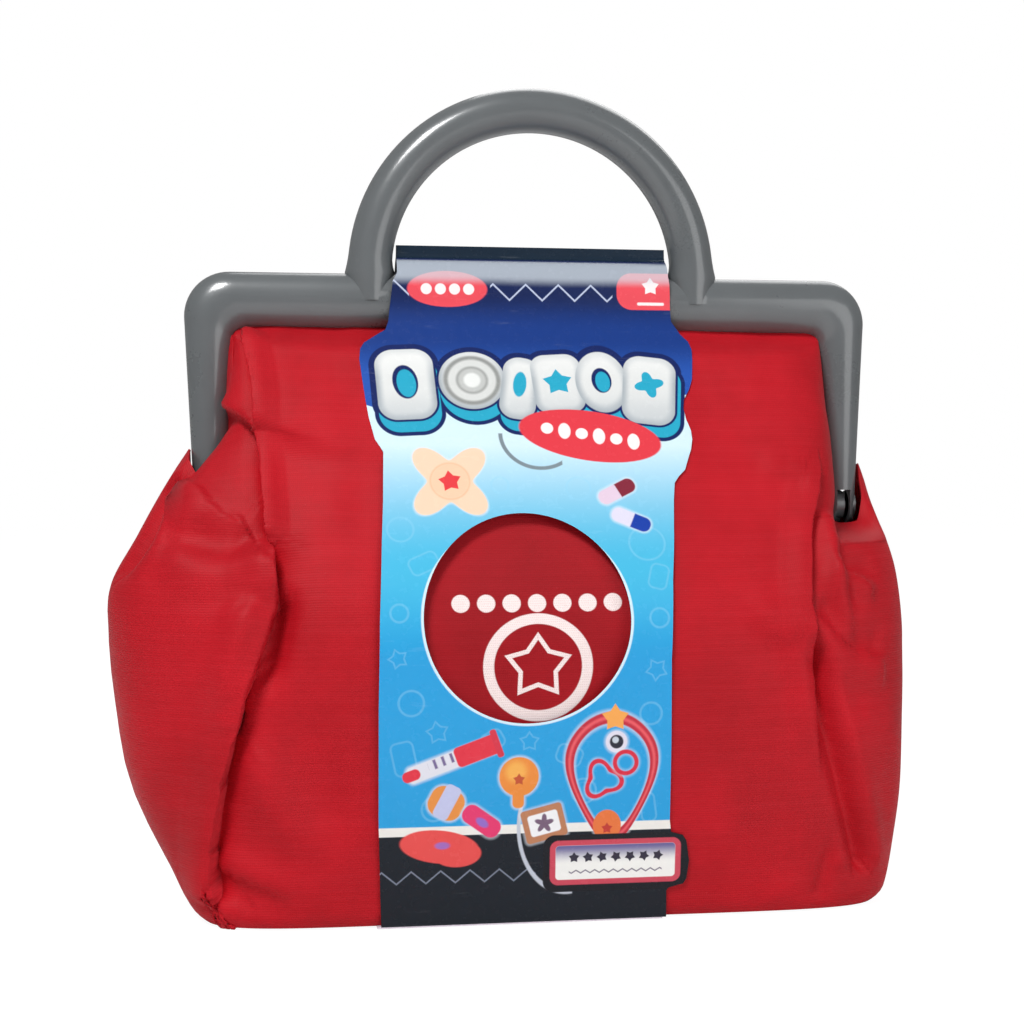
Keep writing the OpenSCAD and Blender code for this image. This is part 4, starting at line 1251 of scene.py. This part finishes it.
        lay((196, 60, 50), star(13.6, 26.4, 1.6), 0.2)
        # the framed plate at the foot, left without words
        lay((18, 20, 28), box(16.8, 16.8, 41.6, 16.2, 3.2))
        lay((206, 74, 92), box(16.2, 17.0, 36.6, 12.6, 2.4))
        lay((246, 246, 242), box(16.2, 17.0, 33.4, 9.6, 1.0))
        shade = soft(box(16.2, 17.0, 33.4, 9.6, 1.0)) * (l - up(17.6)).ramp(-1.2, 4.2)
        base = p.mix(shade, base, rgb(104, 98, 152))
        for i in range(7):
            lay((52, 48, 64), star(4.6 + 3.9 * i, 18.4, 1.55, 9 * i), 0.14)
        lay((120, 112, 130), zigzag(14.4, 0, 2.6, 0.8, 0.2).high(abs(x - 16.2) - 13.0), 0.14)
        # white rim of the window
        a, b = x - WINDOW_X, l - up(WINDOW_Z)
        lay((214, 238, 250), abs((a * a + b * b).op("SQRT") - WINDOW_R - 0.35) - 0.4, 0.2)
    grain = p.noise(at, 420.0, 3.0)
    wave = p.noise(p.stretch(at, (14.0, 26.0, 1.0)), 1.0, 3.0)
    scuff = p.noise(p.stretch(at, (60.0, 400.0, 1.0)), 1.0, 3.0, 0.6).ramp(0.62, 0.86)
    base = p.mix(scuff * 0.06, base, rgb(235, 240, 245))
    # painted highlight: over the fold the print is mixed towards a silvery grey, where the bent card catches the
    # light; the coat is heavier there too
    bend = (l - up(178.4) + wave * 2.4).ramp(0.0, 3.4) * (l - up(FOLD_Z - 1.2)).ramp(0.0, 2.0, 1.0, 0.0)
    base = p.mix(bend * 0.62, base, rgb(206, 216, 226))
    p.drive("Base Color", base)
    p.drive("Coat Weight", bend * 0.8 + 0.2)
    p.drive("Roughness", grain.ramp(0.2, 0.8, 0.2, 0.3) + scuff * 0.12)
    p.drive("Normal", p.bump(wave, 0.25, 0.0012, p.bump(grain, 0.05, 0.0001)))
    return p.mat


def card_core():
    """The raw grey pink edge and inside of the card."""
    p = Paint("card_core", Specular_IOR_Level=0.3)
    n = p.noise(p.place(), 900.0, 3.0, 0.7)
    p.drive("Base Color", p.mix(n, rgb(206, 190, 206), rgb(236, 228, 236)))
    p.drive("Roughness", n.ramp(0.2, 0.8, 0.7, 0.9))
    return p.mat


def grey_board():
    """Pressed grey board with flecks."""
    p = Paint("grey_board", Specular_IOR_Level=0.2)
    at = p.place()
    fibre = p.noise(p.stretch(at, (300.0, 900.0, 300.0)), 1.0, 5.0, 0.7)
    fleck = p.noise(at, 1500.0, 2.0).ramp(0.6, 0.75)
    base = p.mix(fibre, rgb(150, 132, 112), rgb(186, 168, 146))
    p.drive("Base Color", p.mix(fleck * 0.5, base, rgb(96, 84, 72)))
    p.drive("Roughness", fibre.ramp(0.2, 0.8, 0.8, 0.95))
    p.drive("Normal", p.bump(fibre, 0.3, 0.0002))
    return p.mat


# ---------------------------------------------------------------- the stage, in metres
# the photograph's camera: focal length and the place where the lens's axis meets the picture, in pixels
PHOTO_PX, LENS_PX, AXIS_PX, SENSOR = 1024, 1766.16, (537.71, 559.0), 36.0
CAMERA_AT, CAMERA_TURN = (-0.07601, -0.5188, 0.1255), (math.pi / 2 - 0.0527, 0.0, -0.1484)
# name, place, power in watts and size of each lamp, and what they point at
LAMPS = (("key", (-0.42, -0.64, 0.98), 9.4, 0.32), ("fill", (0.75, -1.0, 0.35), 4.1, 0.8),
         ("back", (0.3, 0.7, 1.0), 4.0, 0.8))
LAMPS_AIM = (0, 0, 0.11)


def camera_share(tree, kind, *terms):
    """Whether the camera sees it, times a factor and plus what is added."""
    seen = add_node(tree, "LightPath").outputs["Is Camera Ray"]
    return add_node(tree, "Math", {0: seen, **dict(enumerate(terms, 1))}, operation=kind).outputs[0]


def floor_white():
    """Pale floor that looks nearly white to the camera and plain to the other rays."""
    mat = bpy.data.materials.new("floor_white")
    mat.use_nodes = True
    tree = mat.node_tree
    tree.nodes.clear()
    diffuse = add_node(tree, "BsdfDiffuse", {"Color": (0.86, 0.86, 0.86, 1)}).outputs[0]
    glow = add_node(tree, "Emission", {"Strength": 1.22}).outputs[0]
    blend = add_node(tree, "MixShader", {0: camera_share(tree, "MULTIPLY", 0.78), 1: diffuse, 2: glow})
    add_node(tree, "OutputMaterial", {0: blend.outputs[0]})
    return mat


def studio():
    """White surroundings, dimmer for the light they give than for the camera."""
    world = bpy.data.worlds.new("studio")
    world.use_nodes = True
    bg = world.node_tree.nodes["Background"]
    bg.inputs[0].default_value = (1, 1, 1, 1)
    world.node_tree.links.new(camera_share(world.node_tree, "MULTIPLY_ADD", 0.75, 0.25), bg.inputs[1])
    return world


# ---------------------------------------------------------------- settings shown in the panel
class CASE_PG_finish(bpy.types.PropertyGroup):
    plastic: bpy.props.FloatVectorProperty(
        name="Plastic", description="Colour of the moulded frame",
        subtype="COLOR", size=4, default=rgb(97, 101, 103), min=0, max=1)
    gloss: bpy.props.FloatProperty(
        name="Plastic roughness", description="Roughness of the moulded frame",
        default=0.26, min=0.05, max=1)


class CASE_PG_cloth(bpy.types.PropertyGroup):
    thickness: bpy.props.FloatProperty(
        name="Cloth thickness", description="Thickness of the bag's cloth in millimetres",
        default=0.7, min=0.3, max=1.5)


class CASE_OT_frame(bpy.types.Operator):
    """Models the two half frames with their hinge ends and open channels"""

    bl_idname = "case.frame"
    bl_label = "Frame"

    def execute(self, context):
        s = context.scene.case_finish
        mat = moulded_plastic("frame_plastic_finish", tuple(s.plastic), s.gloss)
        front = half_frame("front_frame_shell", True)
        back = mirrored(half_frame("b", False), "back_frame_shell", 1)
        bpy.data.objects.remove(bpy.data.objects["b"])
        for obj, body, node in ((front, "front_half", "front_frame"), (back, "back_half", "back_frame")):
            smooth(obj, 32)
            paint(obj, mat)
            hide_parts(node)
            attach(obj, body)
        return {"FINISHED"}


class CASE_OT_fittings(bpy.types.Operator):
    """Finishes the clamps, pins and pegs, and adds the hems in the channels"""

    bl_idname = "case.fittings"
    bl_label = "Clamps, pins and hems"

    def execute(self, context):
        clamp = moulded_plastic("clamp_plastic_finish", rgb(86, 90, 92), 0.42)
        metal = steel()
        paint(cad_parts["front_clamp"], clamp)
        paint(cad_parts["back_clamp"], clamp)
        roll = hem_roll("front_hem_roll")
        places = [(x, 173.2) for x in (-74, -30, 30, 74)] + [(-93.2, 138), (93.2, 138)]
        heads = join("front_clamp_screws", *[screw(x, z) for x, z in places])
        hem = red_cloth("hem_cloth_finish", (150, 16, 28), (128, 12, 22))
        for obj, mat, name, nodes, slot in (
                (roll, hem, "back_hem_roll", ("front_hem", "back_hem"), "hem_cloth"),
                (heads, metal, "back_clamp_screws", None, "hinge_steel")):
            smooth(obj, 35)
            paint(obj, mat)
            for i, piece in enumerate((obj, mirrored(obj, name, 1))):
                if nodes:
                    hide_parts(nodes[i])
                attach(piece, ("front_half", "back_half")[i])
        pins = both(lambda: modify(rod(EAR_X + 0.3, LEG_LOW - 0.6, PIN_R - 0.02, 48), "BEVEL",
                                   width=0.3 * MM, segments=3))
        pins = paint(smooth(pins, 35), metal)
        pins.name = pins.data.name = "hinge_pin_pair"
        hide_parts("hinge_pins")
        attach(pins, "front_half")
        paint(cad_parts["snap_pegs"], bpy.data.materials["frame_plastic_finish"])
        paint(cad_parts["base_board"], grey_board())
        return {"FINISHED"}


class CASE_OT_bag(bpy.types.Operator):
    """Models the cloth bag as one cloth, folds it, and cuts it into the lower shell and the two upper sheets"""

    bl_idname = "case.bag"
    bl_label = "Bag"

    def execute(self, context):
        low, low_uv = lower_grid()
        base = low[-1]
        keys_ = ("flap", "front_left", "front_right", "corner", "right", "back", "last")
        i_flap, i_crease, i_mid, i_fold, i_end, j0, j1 = map(column, keys_)
        crease, fold = (lambda z, k=k: float(np.interp(z, *k.T)) for k in (CREASE, FOLD))
        front = sheet_grid(base, LEFT_EDGE, RIGHT_EDGE, crease, fold, i_flap, i_end, i_crease, i_mid, i_fold, "baba")
        # the back sheet is made facing forward, with the right edge on both sides, and turned round
        turned = base * np.array([-1, -1, 1])
        left_edge = [(v, -x, y, z) for v, x, y, z in RIGHT_EDGE]
        back = sheet_grid(turned, left_edge, RIGHT_EDGE, lambda z: -fold(z), fold,
                          j0, j1, j0 + 20, (j0 + j1) // 2, j1 - 20)
        back[..., :2] *= -1
        k = np.argmin(np.abs(VS - V_TOP)) + 1
        left_low = np.concatenate([base[:-1], base])[j1:len(base) - 1 + i_flap + 1]
        right = shoulder_grid(base[i_end:j0 + 1], front[:k, -1], back[:k, 0], RIGHT_TOP, 1.2)
        left = shoulder_grid(left_low, back[:k, -1], front[:k, 0], LEFT_TOP, -0.3)
        # a turned-in edge beside the left leg, so that the pinched cloth doesn't leave a hole there
        lap = front[k - 1:, 3] + np.array([0.0, 1.8, 0.0])
        tuck = np.stack([np.full(len(lap), TUCK[0]), np.full(len(lap), TUCK[1]), lap[:, 2]], 1)
        turned_in = mix(lap[:, None], tuck[:, None], np.linspace(0, 1, 5)[None, :, None])
        names = ("bag_lower_cloth", "bag_front_cloth", "bag_back_cloth")
        mats = [red_cloth(n + "_finish", mark=window_ink_and_shade if n != names[2] else None) for n in names]
        parts = []
        for i, (grid, which) in enumerate(((low, 0), (right, 0), (left, 0), (front, 1), (back, 2), (turned_in, 1))):
            u, v = measure(grid)
            place = low_uv if i == 0 else np.stack([grid[..., 0] if which else u, v + RIM_Z], -1)
            parts.append(paint(skin(f"cloth_{i}", grid, place), mats[which]))
        whole = join("bag_cloth", *parts)
        weld(whole, 3e-5, outward=True)
        me = whole.data
        relax(me)
        put_co(me, fold_cloth(co_of(me), normals_of(me)))
        drape = me.attributes.new("drape", "FLOAT_VECTOR", "POINT")
        drape.data.foreach_set("vector", normals_of(me).ravel())
        only(whole)
        bpy.ops.object.mode_set(mode="EDIT")
        bpy.ops.mesh.select_all(action="SELECT")
        bpy.ops.mesh.separate(type="MATERIAL")
        bpy.ops.object.mode_set(mode="OBJECT")
        pieces = {o.data.materials[0].name.removesuffix("_finish"): o for o in context.selected_objects}
        lining = red_cloth("bag_lining_finish")
        for name in names:
            obj = only(pieces[name])
            named(name)
            obj.data.materials.append(lining)
            thicken(obj, context.scene.case_cloth.thickness)
        lower, upper, behind = (pieces[n] for n in names)
        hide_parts("front_panel", "back_panel", "left_gusset", "right_gusset",
                    "left_gusset_upper", "right_gusset_upper")
        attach(lower, "bag")
        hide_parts("front_panel_upper")
        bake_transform(upper)
        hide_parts("back_panel_upper")
        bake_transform(behind)
        return {"FINISHED"}


class CASE_OT_base(bpy.types.Operator):
    """Models the cloth under the bag with its seam"""

    bl_idname = "case.base"
    bl_label = "Base"

    def execute(self, context):
        edge, _ = lower_row(0.0)
        # rings like the bag's outline, drawn in by the seam's width and shrinking towards the middle
        shrink = (1.0, 0.985, 0.97, 0.93, 0.86, 0.76, 0.62, 0.46, 0.3, 0.14, 0.0)
        in_x, in_y = 1 - 2.6 / 98, 1 - 2.6 / 43
        rows = np.array([edge * np.array([k * in_x, k * in_y, 0]) + np.array([0, 0, 0.45 if i else 0.6])
                         for i, k in enumerate(shrink)])
        obj = skin("bag_base_cloth", rows, rows[..., :2], flip=True)
        weld(obj, 2e-5)
        modify(obj, "SOLIDIFY", thickness=0.7 * MM, offset=-1.0)
        paint(obj, red_cloth("base_cloth_finish", (170, 20, 34), (150, 14, 28)))
        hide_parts("bottom_panel")
        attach(obj, "bag")
        return {"FINISHED"}


class CASE_OT_card(bpy.types.Operator):
    """Models the printed card sleeve, front with its window and back, and paints the strip under the bag"""

    bl_idname = "case.card"
    bl_label = "Card sleeve"

    def execute(self, context):
        core = card_core()
        front = card_piece("card_sleeve_front", True, "card_front_print", core)
        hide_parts("card_front")
        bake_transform(front)
        back = card_piece("card_sleeve_back", False, "card_back_print", core)
        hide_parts("card_back")
        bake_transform(back)
        paint(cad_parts["card_bottom"], core)
        return {"FINISHED"}


class CASE_OT_stage(bpy.types.Operator):
    """Sets the camera, the pale floor and the soft lights"""

    bl_idname = "case.stage"
    bl_label = "Stage"

    def execute(self, context):
        deselect()
        bpy.ops.object.camera_add(location=CAMERA_AT, rotation=CAMERA_TURN)
        cam = named("camera")
        cam.data.sensor_width = SENSOR
        cam.data.lens = SENSOR * LENS_PX / PHOTO_PX
        cam.data.shift_x = (PHOTO_PX / 2 - AXIS_PX[0]) / PHOTO_PX
        cam.data.shift_y = (AXIS_PX[1] - PHOTO_PX / 2) / PHOTO_PX
        cam.data.clip_start = 0.02
        context.scene.camera = cam
        bpy.ops.mesh.primitive_plane_add(size=6.0, location=(0, 0, -0.0004))
        floor = settle(named("floor"))
        floor.data.materials.append(floor_white())
        context.scene.world = studio()
        for name, loc, power, size in LAMPS:
            deselect()
            bpy.ops.object.light_add(type="AREA", location=loc)
            lamp = bpy.context.active_object
            lamp.name = name
            lamp.data.energy = power
            lamp.data.size = size
            lamp.rotation_euler = (Vector(LAMPS_AIM) - Vector(loc)).to_track_quat("-Z", "Y").to_euler()
        context.scene.view_settings.view_transform = "Standard"
        return {"FINISHED"}


class CASE_PT_panel(bpy.types.Panel):
    """Lists what the case is made of"""

    bl_idname = "CASE_PT_panel"
    bl_label = "Toy Carry Case"
    bl_space_type = "VIEW_3D"
    bl_region_type = "UI"
    bl_category = "Carry Case"

    def draw(self, context):
        col = self.layout.column()
        for group in (context.scene.case_finish, context.scene.case_cloth):
            for key in group.__annotations__:
                col.prop(group, key)
        for op in OPERATORS:
            col.operator(op.bl_idname)


OPERATORS = (CASE_OT_stage, CASE_OT_frame, CASE_OT_fittings, CASE_OT_bag, CASE_OT_base, CASE_OT_card)
CLASSES = (CASE_PG_finish, CASE_PG_cloth, *OPERATORS, CASE_PT_panel)


def register():
    for c in CLASSES:
        bpy.utils.register_class(c)
    bpy.types.Scene.case_finish = bpy.props.PointerProperty(type=CASE_PG_finish)
    bpy.types.Scene.case_cloth = bpy.props.PointerProperty(type=CASE_PG_cloth)


def unregister():
    del bpy.types.Scene.case_finish
    del bpy.types.Scene.case_cloth
    for c in reversed(CLASSES):
        bpy.utils.unregister_class(c)


def main():
    register()
    for op in OPERATORS:
        getattr(bpy.ops.case, op.bl_idname.split(".")[1])()


if __name__ == "__main__":
    main()
